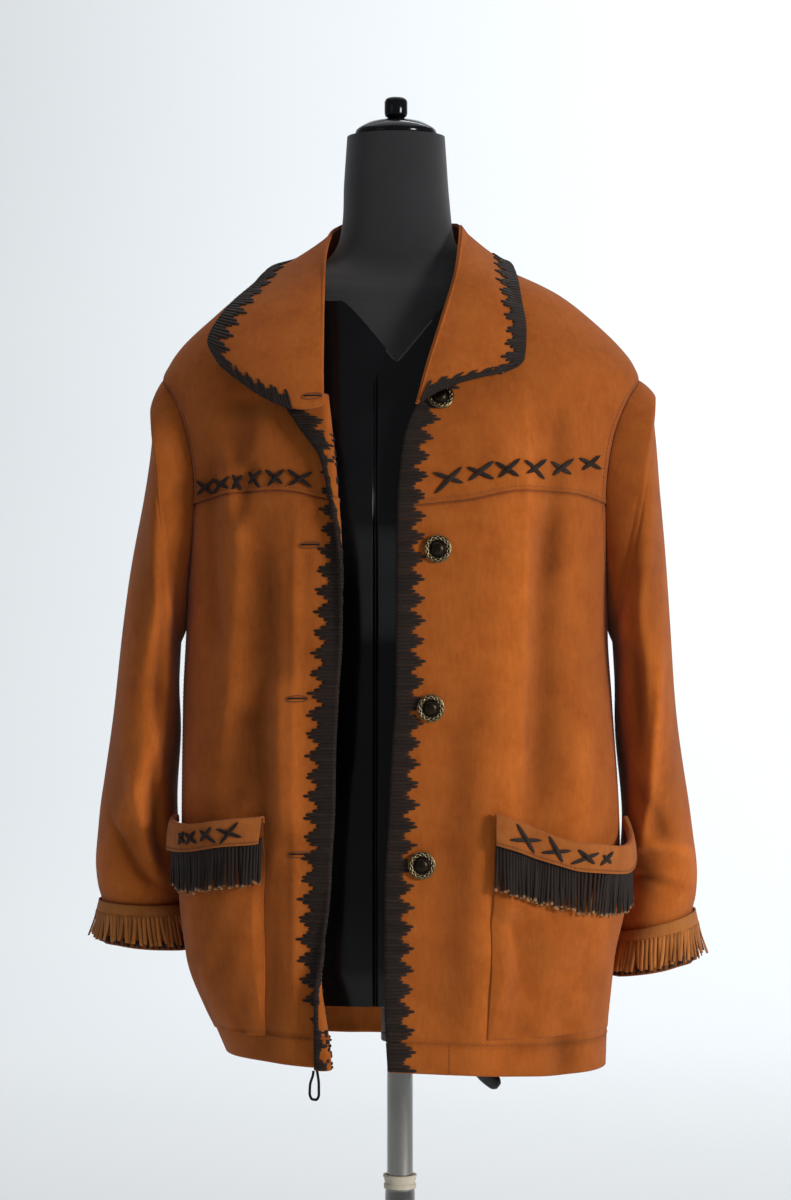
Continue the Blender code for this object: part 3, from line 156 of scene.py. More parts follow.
def closed(name, grids, finish, stands_for=(), **more):
    """A piece that goes once round, with the points that lie on each other merged, as where it shuts at an
    end, and its faces turned outwards."""
    obj = piece(name, grids, finish, stands_for, around=True, **more)
    bm = bmesh.new()
    bm.from_mesh(obj.data)
    bmesh.ops.remove_doubles(bm, verts=bm.verts, dist=1e-6)
    bmesh.ops.dissolve_degenerate(bm, dist=1e-7, edges=bm.edges)
    bmesh.ops.recalc_face_normals(bm, faces=bm.faces)
    bm.to_mesh(obj.data)
    bm.free()
    return obj


def capped(grid):
    """A grid that goes round, with one row more at each end, drawn together to that end's middle."""
    first, last = (np.broadcast_to(row.mean(-2, keepdims=True), row.shape)
                   for row in (grid[..., :1, :, :], grid[..., -1:, :, :]))
    return np.concatenate([first, grid, last], axis=-3)


def turned(profile, steps=72, centre=(0.0, 0.0)):
    """A profile of (radius, height) pairs carried once round an upright axis."""
    radius, height = np.array(profile, float).T
    turn = all_round(steps)[None, :]
    return np.stack([centre[0] + radius[:, None] * np.cos(turn), centre[1] + radius[:, None] * np.sin(turn),
                     np.repeat(height[:, None], steps, 1)], -1)


def add(tree, kind, values=None, **settings):
    """A shader node. Each value is a plain number or colour, or a (node, output) pair to link from."""
    node = tree.nodes.new(kind)
    for name, value in settings.items():
        setattr(node, name, value)
    wire(tree, node, values or {})
    return node


def wire(tree, node, values):
    for name, value in values.items():
        if isinstance(value, tuple) and isinstance(value[0], bpy.types.Node):
            tree.links.new(value[0].outputs[value[1]], node.inputs[name])
        else:
            node.inputs[name].default_value = value


# Each of these makes one node and gives the (node, output) pair that the next one links from
def place_in(tree):
    return add(tree, "ShaderNodeTexCoord"), "Object"


def shade_in(tree):
    return add(tree, "ShaderNodeAttribute", attribute_name="shade"), "Fac"


def noise(tree, place, scale, detail=2.0, roughness=0.5):
    values = {"Vector": place, "Scale": scale, "Detail": detail, "Roughness": roughness}
    return add(tree, "ShaderNodeTexNoise", values), "Fac"


def ramp(tree, value, low=0.0, high=1.0, start=0.0, end=1.0):
    """Low becomes start and high becomes end, straight between and level past them."""
    values = {"Value": value, "From Min": low, "From Max": high, "To Min": start, "To Max": end}
    return add(tree, "ShaderNodeMapRange", values), "Result"


def maths(tree, operation, a, b):
    return add(tree, "ShaderNodeMath", {0: a, 1: b}, operation=operation), "Value"


def mix(tree, factor, first, second, blend="MIX"):
    """Two colours, each a pair or plain red, green and blue, mixed by a factor."""
    first, second = (c if isinstance(c[0], bpy.types.Node) else (*c, 1) for c in (first, second))
    values = {"Factor": factor, 6: first, 7: second}
    return add(tree, "ShaderNodeMix", values, data_type="RGBA", blend_type=blend), 2


def tinted(tree, colour, level):
    """A colour multiplied by one number."""
    grey = add(tree, "ShaderNodeCombineColor", {"Red": level, "Green": level, "Blue": level}), "Color"
    return mix(tree, 1.0, colour, grey, "MULTIPLY")


def bump(tree, height, strength, distance):
    values = {"Height": height, "Strength": strength, "Distance": distance}
    return add(tree, "ShaderNodeBump", values), "Normal"


def finish_of(name, plain=None):
    """A new material with plain values on its shader: the material, its tree and the shader."""
    made = bpy.data.materials.new(name)
    made.use_nodes = True
    shader = made.node_tree.nodes["Principled BSDF"]
    wire(made.node_tree, shader, plain or {})
    return made, made.node_tree, shader


def dusted(name, colour, dust, roughness, scale, amount, plain=None):
    """A smooth hard finish whose colour and gloss change a little over the piece, as by dust and handling."""
    made, tree, shader = finish_of(name, plain)
    place = place_in(tree)
    cloud, fine = noise(tree, place, scale, 4.0), noise(tree, place, scale * 40)
    wire(tree, shader, {
        "Base Color": mix(tree, ramp(tree, cloud, 0.4, 0.75, 0.0, amount), colour, dust),
        "Roughness": ramp(tree, cloud, 0.35, 0.7, roughness, min(roughness * 1.5, 1.0)),
        "Normal": bump(tree, fine, 0.04, 0.0005)})
    return made


HARD_EDGE = 35
chrome = dusted("chromed_steel", (0.34, 0.33, 0.31), (0.22, 0.21, 0.19), 0.10, 18.0, 0.5,
                {"Metallic": 1.0})
paint = dusted("grey_base_paint", (0.10, 0.10, 0.11), (0.18, 0.18, 0.18), 0.38, 12.0, 0.4,
               {"Metallic": 0.4})
plastic = dusted("black_clamp_plastic", (0.010, 0.010, 0.011), (0.03, 0.03, 0.03), 0.26, 30.0,
                 0.5)
bush = dusted("cream_bush", (0.62, 0.56, 0.44), (0.45, 0.40, 0.30), 0.5, 40.0, 0.6)

base = turned([(0, 0), (0.166, 0), (0.1695, 0.0012), (0.170, 0.003), (0.170, 0.0075), (0.1688, 0.0100),
               (0.166, 0.0115), (0.120, 0.0118), (0.040, 0.0119), (0.024, 0.012), (0, 0.012)], 128)
closed("stand_base", base, paint, "base", body="stand", sharp=HARD_EDGE)
tube = turned([(0.0136, 0.0125), (0.0150, 0.0125), (0.0150, 0.508), (0.0148, 0.5095), (0.0148, 0.512),
               (0.0136, 0.512), (0.0136, 0.0125)])
closed("stand_tube", tube, chrome, "outer_tube", body="stand", sharp=HARD_EDGE)
ring = turned([(0.0136, 0.5125), (0.0160, 0.5125), (0.0162, 0.5165), (0.0153, 0.5175), (0.0150, 0.5185),
               (0.0166, 0.5235), (0.0170, 0.5250), (0.0166, 0.5260), (0.0136, 0.5260), (0.0136, 0.5125)])
closed("stand_bush", ring, bush, "tube_collar", body="stand", sharp=HARD_EDGE)
pole = turned([(0, 0.150), (0.0130, 0.150), (0.0130, 0.7050), (0.0126, 0.7054), (0, 0.7054)])
closed("form_pole", pole, chrome, "inner_pole", sharp=HARD_EDGE)
clamp = turned([(0.0134, 0.660), (0.0180, 0.660), (0.0190, 0.6612), (0.0190, 0.668), (0.0184, 0.6688),
                (0.0184, 0.6930), (0.0190, 0.6938), (0.0190, 0.7040), (0.0184, 0.7053), (0.0134, 0.7053),
                (0.0134, 0.660)])
closed("form_clamp", clamp, paint, "pole_clamp", sharp=HARD_EDGE)

LEVER = table(
    "row x z half",
    (0, 0.0199, 0.6760, 0.0020), (1, 0.0240, 0.6755, 0.0052), (2, 0.0310, 0.6730, 0.0078),
    (3, 0.0470, 0.6625, 0.0075), (4, 0.0660, 0.6455, 0.0070), (5, 0.0860, 0.6250, 0.0080),
    (6, 0.0950, 0.6172, 0.0072), (7, 0.0986, 0.6143, 0.0040),
)
LEVER_HALF_DEPTH = 0.0075


def lever_grid():
    """A rounded bar: a squarish oval section carried along the lever's line, closed at both ends."""
    row = np.concatenate([[0.0], np.linspace(0, 7, 60), [7.0]])[:, None]
    turn = all_round(28)[None, :]
    x, z, half = (follow(LEVER, name, row) for name in ("x", "z", "half"))
    dx, dz = (follow(LEVER, name, row + 0.02) - follow(LEVER, name, row - 0.02) for name in ("x", "z"))
    length = np.hypot(dx, dz)
    shut = np.ones_like(row)
    shut[0] = shut[-1] = 0.0
    c, s = np.cos(turn), np.sin(turn)
    reach = (np.abs(c) ** 3 + np.abs(s) ** 3) ** (-1 / 3) * shut
    y = LEVER_HALF_DEPTH * s * reach * np.minimum(1, half / 0.005)
    return np.stack([x - dz / length * half * c * reach, y, z + dx / length * half * c * reach], -1)


closed("clamp_lever", lever_grid(), plastic, "height_lever", body="lever")


# Dress form: a limbless torso of gloss black plastic shells with a seam down the front, its neck and upper
# chest covered in matte black jersey, a plastic cap and knob on top.
FORM = table(
    "height half_width centre front back squareness",
    (0.706, 0.152, 0.0, -0.104, 0.100, 2.3), (0.740, 0.160, 0.0, -0.110, 0.106, 2.3),
    (0.830, 0.165, 0.0, -0.112, 0.112, 2.3), (0.900, 0.158, 0.0, -0.106, 0.106, 2.3),
    (0.980, 0.135, 0.0, -0.094, 0.082, 2.2), (1.050, 0.128, 0.0, -0.094, 0.072, 2.2),
    (1.120, 0.140, 0.0, -0.110, 0.080, 2.2), (1.180, 0.152, 0.0, -0.126, 0.088, 2.2),
    (1.230, 0.158, 0.0, -0.120, 0.094, 2.2), (1.280, 0.166, 0.0, -0.100, 0.096, 2.2),
    (1.320, 0.171, 0.0, -0.082, 0.092, 2.1), (1.360, 0.168, 0.0, -0.066, 0.086, 2.0),
    (1.388, 0.160, 0.0, -0.056, 0.080, 2.0), (1.406, 0.149, 0.0, -0.049, 0.076, 2.0),
    (1.421, 0.119, 0.0, -0.041, 0.070, 2.0), (1.429, 0.096, 0.0, -0.038, 0.066, 2.0),
    (1.437, 0.078, -0.001, -0.037, 0.063, 2.0), (1.448, 0.065, -0.002, -0.039, 0.062, 2.0),
    (1.460, 0.058, -0.003, -0.041, 0.061, 2.0), (1.480, 0.0545, -0.003, -0.042, 0.060, 2.0),
    (1.520, 0.0520, -0.004, -0.041, 0.060, 2.0), (1.564, 0.0490, -0.004, -0.040, 0.058, 2.0),
)
SEAM_X, SEAM_HALF_WIDTH, SEAM_DEPTH = -0.024, 0.0016, 0.0022
SHELL_LOW, COVER_LOW, NECK_TOP = 0.7062, 1.395, 1.564
NECK_DIP, NECK_DIP_TURN = 0.062, -0.04
NECK_AXIS = (-0.004, 0.009)
MOULDED_EDGE = 50


def form_skin(turn, height):
    """A squarish oval ring at each height: its half width, front and back come from the form's table."""
    turn, height = np.broadcast_arrays(turn, height)
    at = follow_all(FORM, height)
    middle = (at["front"] + at["back"]) / 2
    n = at["squareness"]
    s, c = np.sin(turn), np.cos(turn)
    r = (np.abs(s / at["half_width"]) ** n + np.abs(c / (at["back"] - middle)) ** n) ** (-1 / n)
    x, y = at["centre"] + r * s, middle - r * c
    groove = SEAM_DEPTH * bell(x, SEAM_X, SEAM_HALF_WIDTH) * (c > 0) * fade(-height, -1.34, -1.30)
    return np.stack([x, y + groove, height], -1)


def knitted():
    """Matte jersey: fine knitted ribs as a bump, with a soft light pile."""
    made, tree, shader = finish_of("black_jersey",
                                   {"Roughness": 0.95, "Sheen Weight": 0.35, "Sheen Roughness": 0.5})
    place = place_in(tree)
    ribs = add(tree, "ShaderNodeTexWave", {"Vector": place, "Scale": 260.0, "Distortion": 1.2, "Detail": 1.0},
               bands_direction="Z"), "Fac"
    fuzz, cloud = noise(tree, place, 900.0, 3.0), noise(tree, place, 14.0)
    wire(tree, shader, {"Base Color": mix(tree, cloud, (0.009, 0.009, 0.011), (0.020, 0.020, 0.023)),
                        "Normal": bump(tree, maths(tree, "ADD", ribs, fuzz), 0.35, 0.0004)})
    return made


gloss = dusted("gloss_black_shell", (0.004, 0.004, 0.005), (0.009, 0.009, 0.010), 0.12, 9.0,
               0.6, {"Specular IOR Level": 0.26})
jersey = knitted()
# Closer columns near the seam, where the groove is narrow
turn = np.concatenate([np.linspace(-0.40, -0.12, 90), np.linspace(-0.12, 2 * math.pi - 0.40, 170)[1:-1]])
turn = turn[None, :]
towards_tip = np.clip(1 - np.abs(np.angle(np.exp(1j * (turn - NECK_DIP_TURN)))) / 0.72, 0, 1)
split = COVER_LOW - NECK_DIP * towards_tip**1.15
share = np.linspace(0, 1, 130)[:, None]
torso = form_skin(turn, SHELL_LOW + (split - 0.0002 - SHELL_LOW) * share)
closed("torso_shell", capped(torso), gloss, "form_torso", sharp=MOULDED_EDGE)
share = np.linspace(0, 1, 70)[:, None] ** 1.2
neck = form_skin(turn, split + 0.0002 + (NECK_TOP - split - 0.0002) * share)
closed("neck_cover", capped(neck), jersey, "form_neck", sharp=MOULDED_EDGE)
dome = turned([(0, 1.5644), (0.0385, 1.5644), (0.0404, 1.5652), (0.0410, 1.5672), (0.0404, 1.5700),
               (0.0385, 1.5722), (0.0345, 1.5748), (0.0280, 1.5782), (0.0200, 1.5802), (0.0100, 1.5812),
               (0, 1.5813)], 96, NECK_AXIS)
closed("neck_dome", dome, gloss, "neck_cap", sharp=MOULDED_EDGE)
knob = turned([(0, 1.5817), (0.0070, 1.5817), (0.0082, 1.5830), (0.0108, 1.5850), (0.0115, 1.5875),
               (0.0115, 1.5990), (0.0108, 1.6010), (0.0096, 1.6025), (0.0080, 1.6034), (0.0040, 1.6040),
               (0, 1.6041)], 64, NECK_AXIS)
closed("neck_top_knob", knob, gloss, "neck_knob", sharp=MOULDED_EDGE)


# Coat body: cognac suede panels about 2 mm thick. Fronts hang open from a curved yoke on each side, the
# right edge is turned back as a lapel and at its hem, and the back is one piece.
LEATHER = 0.0022
HEM, ARMPIT, ARMHOLE_TOP, SHOULDER = 0.649, 1.10, 1.32, 1.437
HEM_SEAM = 0.029
ARMHOLE_DEEP = {True: 0.058, False: 0.062}
ROLL_RADIUS = 0.004
ROLL_COLUMNS = 22
LAPEL_TOP = 1.2943
SEAM_LEVEL = 1.1909
CREASE_DEPTH = 1.3
BODY = table(
    "height right_side left_side middle front back squareness",
    (0.640, 0.166, 0.204, -0.015, -0.150, 0.130, 2.5), (0.670, 0.179, 0.205, -0.015, -0.150, 0.131, 2.5),
    (0.700, 0.192, 0.206, -0.015, -0.150, 0.132, 2.5), (0.750, 0.208, 0.209, -0.015, -0.150, 0.132, 2.5),
    (0.820, 0.214, 0.219, -0.014, -0.149, 0.130, 2.5), (0.880, 0.217, 0.218, -0.012, -0.147, 0.127, 2.5),
    (1.000, 0.216, 0.211, -0.006, -0.146, 0.118, 2.4), (1.070, 0.213, 0.207, -0.002, -0.147, 0.114, 2.4),
    (1.100, 0.212, 0.207, 0.000, -0.147, 0.114, 2.4), (1.160, 0.212, 0.210, 0.001, -0.146, 0.117, 2.4),
    (1.210, 0.214, 0.214, 0.002, -0.140, 0.120, 2.35), (1.260, 0.221, 0.222, 0.003, -0.128, 0.120, 2.3),
    (1.300, 0.231, 0.233, 0.004, -0.114, 0.116, 2.2), (1.320, 0.237, 0.239, 0.005, -0.105, 0.113, 2.15),
    (1.336, 0.230, 0.233, 0.006, -0.098, 0.110, 2.1), (1.352, 0.219, 0.221, 0.007, -0.090, 0.107, 2.05),
    (1.381, 0.189, 0.191, 0.009, -0.075, 0.101, 2.0), (1.405, 0.160, 0.160, 0.010, -0.062, 0.094, 2.0),
    (1.425, 0.120, 0.120, 0.012, -0.046, 0.087, 2.0), (1.437, 0.088, 0.088, 0.014, -0.036, 0.081, 2.0),
)
LEFT_EDGE = table(
    "height across",
    (0.640, -0.0098), (0.718, -0.0136), (0.814, -0.0136), (0.890, -0.0098), (0.966, -0.0059),
    (1.007, -0.0031), (1.153, -0.0021), (1.196, -0.0012), (1.224, 0.0008), (1.253, 0.0046),
    (1.284, 0.0151), (1.300, 0.0260), (1.330, 0.0450), (1.370, 0.0600), (1.410, 0.0700), (1.437, 0.0760),
)
RIGHT_EDGE = table(
    "height across",
    (0.640, -0.0700), (0.665, -0.0709), (0.704, -0.0766), (0.733, -0.0804), (0.766, -0.0786),
    (0.833, -0.0709), (0.890, -0.0670), (0.966, -0.0651), (1.007, -0.0632), (1.091, -0.0613),
    (1.153, -0.0615), (1.215, -0.0661), (1.284, -0.0728), (1.300, -0.0745), (1.360, -0.0780),
    (1.437, -0.0780),
)
RIGHT_ROLL = table(
    "height width",
    (0.640, 0.021), (0.674, 0.019), (0.700, 0.0155), (0.728, 0.0120), (0.755, 0.0085), (0.800, 0.0045),
    (0.860, 0.0022), (1.000, 0.002), (1.060, 0.0045), (1.100, 0.0064), (1.126, 0.0082), (1.155, 0.0106),
    (1.191, 0.0138), (1.229, 0.019), (1.265, 0.038), (1.294, 0.050), (1.300, 0.050),
)
YOKE_SEAM = table(
    "across height",
    (0.0, 1.190), (0.060, 1.196), (0.120, 1.206), (0.165, 1.204), (0.215, 1.1909),
)
CREASES = table(
    "side top_across top_height low_across low_height lift spread",
    (1, 0.118, 1.300, 0.082, 0.660, 0.0060, 0.020), (1, 0.103, 0.806, 0.132, 0.700, -0.0065, 0.020),
    (1, 0.157, 0.760, 0.160, 0.640, -0.0050, 0.015), (1, 0.060, 1.020, 0.045, 0.680, -0.0030, 0.022),
    (-1, 0.136, 1.180, 0.134, 0.660, -0.0060, 0.017), (-1, 0.117, 1.030, 0.112, 0.880, 0.0040, 0.015),
    (-1, 0.151, 1.000, 0.161, 0.900, -0.0040, 0.014), (-1, 0.150, 1.300, 0.166, 1.225, -0.0040, 0.015),
    # Finer folds than the solids carry
    (1, 0.119, 1.315, 0.110, 0.900, 0.0016, 0.0050), (1, 0.143, 1.190, 0.136, 0.900, -0.0046, 0.0150),
    (1, 0.156, 1.290, 0.146, 1.120, -0.0030, 0.0100), (1, 0.095, 0.800, 0.128, 0.712, -0.0020, 0.0150),
    (1, 0.075, 0.980, 0.070, 0.700, 0.0018, 0.0120), (1, 0.178, 0.990, 0.172, 0.800, 0.0030, 0.0120),
    (-1, 0.100, 1.190, 0.100, 0.700, 0.0016, 0.0060), (-1, 0.150, 1.180, 0.168, 0.960, 0.0030, 0.0110),
    (-1, 0.172, 1.255, 0.155, 1.150, 0.0026, 0.0080), (-1, 0.144, 1.235, 0.160, 1.170, -0.0028, 0.0070),
    (-1, 0.187, 1.240, 0.181, 1.060, -0.0032, 0.0090), (-1, 0.124, 0.880, 0.145, 0.690, 0.0022, 0.0110),
)
BACK_FOLDS = table(
    "across top_height lift spread",
    (-0.120, 1.020, 0.0060, 0.026), (-0.060, 0.930, -0.0050, 0.022), (0.010, 1.060, 0.0055, 0.028),
    (0.075, 0.960, -0.0050, 0.024), (0.130, 1.000, 0.0060, 0.026), (-0.155, 1.080, -0.0030, 0.012),
    (0.160, 1.060, -0.0030, 0.012), (-0.030, 1.160, 0.0018, 0.012), (0.050, 1.200, -0.0020, 0.014),
)


def hem_height(x):
    return HEM - 0.007 * np.clip(x / 0.15, -1, 1)


def relief(x, in_front, height):
    """Creases and folds above the plain ring: bell-shaped ridges and troughs along slanting lines, faded at
    both ends, a shallow tuck above the hem, and a faint rumple of crossed sine waves."""
    total = 0.00035 * np.sin(61 * x + 23 * height + 1.3) * np.sin(19 * x - 37 * height)
    total = total + 0.0002 * np.sin(133 * x + 71 * height)
    for side, top_x, top, low_x, low, lift, spread in zip(*CREASES.values()):
        part = (top - height) / (top - low)
        line = top_x + (low_x - top_x) * part
        ends = fade(part, -0.05, 0.15) * (1 - fade(part, 0.85, 1.12))
        total = total + CREASE_DEPTH * in_front * lift * ends * bell(side * x, line, spread)
    for across, top, lift, spread in zip(*BACK_FOLDS.values()):
        total = total + (1 - in_front) * lift * (1 - fade(height, top - 0.28, top)) * bell(x, across, spread)
    above = height - hem_height(x)
    return total - 0.0013 * bell(above, HEM_SEAM, 0.0024) + 0.0010 * bell(above, 0.014, 0.011)


def coat_at(turn, height):
    """The coat's outside: a squarish oval ring at each height, turn 0 in front and growing to the wearer's
    left, with the relief added along the ring's radius."""
    turn, height = np.broadcast_arrays(np.asarray(turn, float), np.asarray(height, float))
    s, c = np.sin(turn), np.cos(turn)
    at = follow_all(BODY, height)
    side = np.where(s >= 0, at["left_side"], at["right_side"])
    depth = np.where(c >= 0, at["middle"] - at["front"], at["back"] - at["middle"])
    n = at["squareness"]
    r = (np.abs(s / side) ** n + np.abs(c / depth) ** n) ** (-1 / n)
    r = r + relief(r * s, (c >= 0).astype(float), height) * fade(np.abs(c), 0.10, 0.45)
    return np.stack([r * s, at["middle"] - r * c, height], -1)


def normal_of(surface, a, b, step=1e-4):
    """Outward normal of a surface(a, b), across its two tangents."""
    along_a = surface(a + step, b) - surface(a - step, b)
    along_b = surface(a, b + step) - surface(a, b - step)
    return unit(np.cross(along_a, along_b))


def coat_out(turn, height):
    return normal_of(coat_at, turn, np.minimum(height, SHOULDER - 2e-4))


def ring_depth(height, in_front):
    """How far a ring reaches from its middle to the front or the back, its middle and its squareness."""
    middle, n = follow(BODY, "middle", height), follow(BODY, "squareness", height)
    depth = middle - follow(BODY, "front", height) if in_front else follow(BODY, "back", height) - middle
    return depth, n


def turn_at_x(x, height):
    """The turn at which a ring's front lies x across."""
    x, height = np.broadcast_arrays(np.asarray(x, float), np.asarray(height, float))
    side = np.where(x >= 0, follow(BODY, "left_side", height), follow(BODY, "right_side", height))
    depth, n = ring_depth(height, True)
    return np.arctan2(x, depth * np.maximum(1 - np.abs(x / side) ** n, 0.0) ** (1 / n))


def turn_at_depth(side, distance, height, in_front=True):
    """The turn at which a ring lies a distance in front of, or behind, its middle."""
    width = follow(BODY, "left_side" if side > 0 else "right_side", height)
    depth, n = ring_depth(height, in_front)
    x = width * np.maximum(1 - np.abs(distance / depth) ** n, 0.0) ** (1 / n)
    return np.arctan2(side * x, distance if in_front else -distance)


def side_turn(side, height, in_front):
    """The turn at which a panel ends: its side seam, and the oval armhole above that."""
    round_hole = np.arccos(np.clip(1 - 2 * (height - ARMPIT) / (ARMHOLE_TOP - ARMPIT), -1, 1))
    distance = np.maximum(ARMHOLE_DEEP[in_front] * np.sin(round_hole), 0.00015)
    return turn_at_depth(side, distance, height, in_front)


def to_hem(height, x):
    """Rows near the hem drawn down or up to its tilt."""
    return (hem_height(x) - HEM) * np.clip((0.728 - height) / (0.728 - HEM), 0, 1)


def shifted(height, x):
    """Rows drawn up or down so that they meet the yoke seam's curve and the hem's tilt."""
    rise = follow(YOKE_SEAM, "height", np.abs(x)) - SEAM_LEVEL
    near = np.where(height <= SEAM_LEVEL, np.clip((height - 1.06) / (SEAM_LEVEL - 1.06), 0, 1),
                    np.clip((LAPEL_TOP - height) / (LAPEL_TOP - SEAM_LEVEL), 0, 1))
    return height + rise * near + to_hem(height, x)


def front_at(side, across, nominal):
    """A front and its yoke as one surface, and its normal. From 0 to 1 across is the share of the way from
    the free edge's fold to the side. Below 0 it is metres past the fold, where the leather turns outwards
    round a small radius and then lies flat over the front."""
    across, nominal = np.broadcast_arrays(np.asarray(across, float), np.asarray(nominal, float))
    edge = LEFT_EDGE if side > 0 else RIGHT_EDGE
    inside = np.clip(across, 0, None)
    begin = turn_at_x(follow(edge, "across", nominal), nominal)
    level = begin + (side_turn(side, nominal, True) - begin) * inside
    height = shifted(nominal, coat_at(level, nominal)[..., 0])
    bend = np.clip(-across / ROLL_RADIUS, 0, math.pi)
    over = np.where(bend < math.pi, -ROLL_RADIUS * np.sin(bend), -across - math.pi * ROLL_RADIUS)
    begin = turn_at_x(follow(edge, "across", height) + side * np.where(across < 0, over, 0), height)
    turn = begin + (side_turn(side, height, True) - begin) * inside
    surface = coat_at(turn, height)
    out = coat_out(turn, height)
    aside = side * unit(coat_at(turn + 1e-4, height) - surface)
    normal = unit(out * np.cos(bend)[..., None] + aside * np.sin(bend)[..., None])
    return surface + out * (ROLL_RADIUS * (1 - np.cos(bend)))[..., None], normal


def suede_group():
    """Brushed suede: a warm colour that drifts between lighter and darker patches, strokes of nap that lie
    this way and that, a very fine pile as bump, and a shade that each piece gives along its folds."""
    tree = bpy.data.node_groups.new("suede_nap", "ShaderNodeTree")
    colour, number, vector = "NodeSocketColor", "NodeSocketFloat", "NodeSocketVector"
    given = (("Colour", colour, (0.42, 0.12, 0.024, 1)), ("Light", colour, (0.56, 0.19, 0.05, 1)),
             ("Dark", colour, (0.24, 0.055, 0.012, 1)), ("Shade", number, 1.0))
    for socket, kind, value in given:
        tree.interface.new_socket(socket, in_out="INPUT", socket_type=kind).default_value = value
    for socket, kind in (("Colour", colour), ("Roughness", number), ("Normal", vector)):
        tree.interface.new_socket(socket, in_out="OUTPUT", socket_type=kind)
    given, made = tree.nodes.new("NodeGroupInput"), tree.nodes.new("NodeGroupOutput")
    place = place_in(tree)
    drift, patch = noise(tree, place, 7.0, 5.0, 0.6), noise(tree, place, 34.0, 6.0, 0.65)
    lie = {"Vector": place, "Scale": (1.0, 1.0, 0.28), "Rotation": (0.0, 0.25, 0.0)}
    lie = add(tree, "ShaderNodeMapping", lie), "Vector"
    stroke, pile = noise(tree, lie, 240.0, 4.0, 0.7), noise(tree, place, 1500.0, 3.0, 0.7)
    lighter = mix(tree, ramp(tree, patch, 0.42, 0.72, 0.0, 0.42), (given, "Colour"), (given, "Light"))
    worn = mix(tree, ramp(tree, patch, 0.25, 0.46, 0.34, 0.0), lighter, (given, "Dark"))
    level = maths(tree, "ADD", stroke, pile)
    brushed = ramp(tree, level, 0.6, 1.4, 0.80, 1.16)
    waved = ramp(tree, ramp(tree, drift, 0.35, 0.65), 0.0, 1.0, 0.93, 1.06)
    times = maths(tree, "MULTIPLY", maths(tree, "MULTIPLY", brushed, waved), (given, "Shade"))
    wire(tree, made, {"Colour": tinted(tree, worn, times),
                      "Roughness": ramp(tree, patch, 0.0, 1.0, 0.86, 1.0),
                      "Normal": bump(tree, level, 0.30, 0.0007)})
    return tree


nap = suede_group()


def suede(name, colour, light, dark):
    made, tree, shader = finish_of(name,
                                   {"Sheen Weight": 0.10, "Sheen Roughness": 0.5, "Specular IOR Level": 0.08})
    fur = add(tree, "ShaderNodeGroup", {"Colour": (*colour, 1), "Light": (*light, 1), "Dark": (*dark, 1),
                                        "Shade": shade_in(tree)}, node_tree=nap)
    wire(tree, shader, {"Base Color": (fur, "Colour"), "Roughness": (fur, "Roughness"),
                        "Normal": (fur, "Normal")})
    return made


cognac = suede("cognac_suede", (0.375, 0.094, 0.0140), (0.47, 0.138, 0.026), (0.215, 0.044, 0.0070))


def thick(obj, depth=LEATHER):
    """The leather's thickness, inwards from the outside."""
    solid = obj.modifiers.new("leather", "SOLIDIFY")
    solid.thickness, solid.offset = depth, -1.0
    return obj


def painted_fold_shading(lift, strength):
    """Painted shade and light along folds: darker where the relief is low, lighter along ridges."""
    return 1.0 + np.clip(lift, -0.008, 0.006) * strength * 100 / 3


# Rows of heights: even ones, and round the armhole those of even steps along its oval
ARMHOLE_MIDDLE, ARMHOLE_HALF = (ARMPIT + ARMHOLE_TOP) / 2, (ARMHOLE_TOP - ARMPIT) / 2
ROUND = ARMHOLE_MIDDLE - ARMHOLE_HALF * np.cos(np.radians(np.linspace(0, 180, 61)))
UP_TO_SEAM = np.concatenate([np.linspace(HEM, ARMPIT, 170)[:-1], ROUND[ROUND < SEAM_LEVEL - 1e-4],
                             [SEAM_LEVEL - 0.0001]])
FROM_SEAM = np.concatenate([[SEAM_LEVEL + 0.0001], ROUND[ROUND > SEAM_LEVEL + 1e-4][:-1],
                            np.linspace(ARMHOLE_TOP, SHOULDER, 36)])
BACK_ROWS = np.concatenate([np.linspace(HEM, ARMPIT, 150)[:-1], ROUND[:-1],
                            np.linspace(ARMHOLE_TOP, SHOULDER, 36)])
SIDES = ((1, "left"), (-1, "right"))
for side, word in SIDES:
    for part, rows, seam_lift in (("front", UP_TO_SEAM, -0.0010), ("yoke", FROM_SEAM, 0.0007)):
        nominal = rows[:, None]
        across = np.repeat(np.linspace(0, 1, 110)[None, :], len(rows), 0)
        keep = None
        if side < 0:
            past = np.linspace(-1, 0, ROLL_COLUMNS)[None, :-1] * follow(RIGHT_ROLL, "width", nominal)
            across = np.concatenate([past, across], 1)
            keep = np.ones((len(rows) - 1, across.shape[1] - 1), bool)
            keep[rows[:-1] >= LAPEL_TOP - 1e-4, :ROLL_COLUMNS - 1] = False
        points, out = front_at(side, across, nominal)
        seam = bell(nominal, SEAM_LEVEL, 0.0035)
        points = points + out * (seam * seam_lift)[..., None]
        x, z = points[..., 0], points[..., 2]
        # Painted shade: darker along the yoke seam, at the side edge, in the fold troughs and in the crease
        # above the hem, lighter on the ridges
        shade = ((1.0 - 0.16 * seam - 0.10 * bell(across, 1, 0.02)) * painted_fold_shading(relief(x, 1.0, z), 1.7)
                 * (1 - 0.12 * bell(z - hem_height(x), HEM_SEAM, 0.003)))
        name = f"{word}_{part}"
        panel = thick(piece(f"coat_{name}", points, cognac, name, shade=shade, keep=keep, flip=side < 0))

nominal = BACK_ROWS[:, None]
begin, end = side_turn(1, nominal, False), 2 * math.pi + side_turn(-1, nominal, False)
turn = begin + (end - begin) * np.linspace(0, 1, 200)[None, :]
height = nominal + to_hem(nominal, coat_at(turn, nominal)[..., 0])
points = coat_at(turn, height)
# Painted shade in the back's fold troughs and painted light on its ridges
shade = painted_fold_shading(relief(points[..., 0], 0.0, height), 1.0)
panel = thick(piece("coat_back", points, cognac, "back", shade=shade))


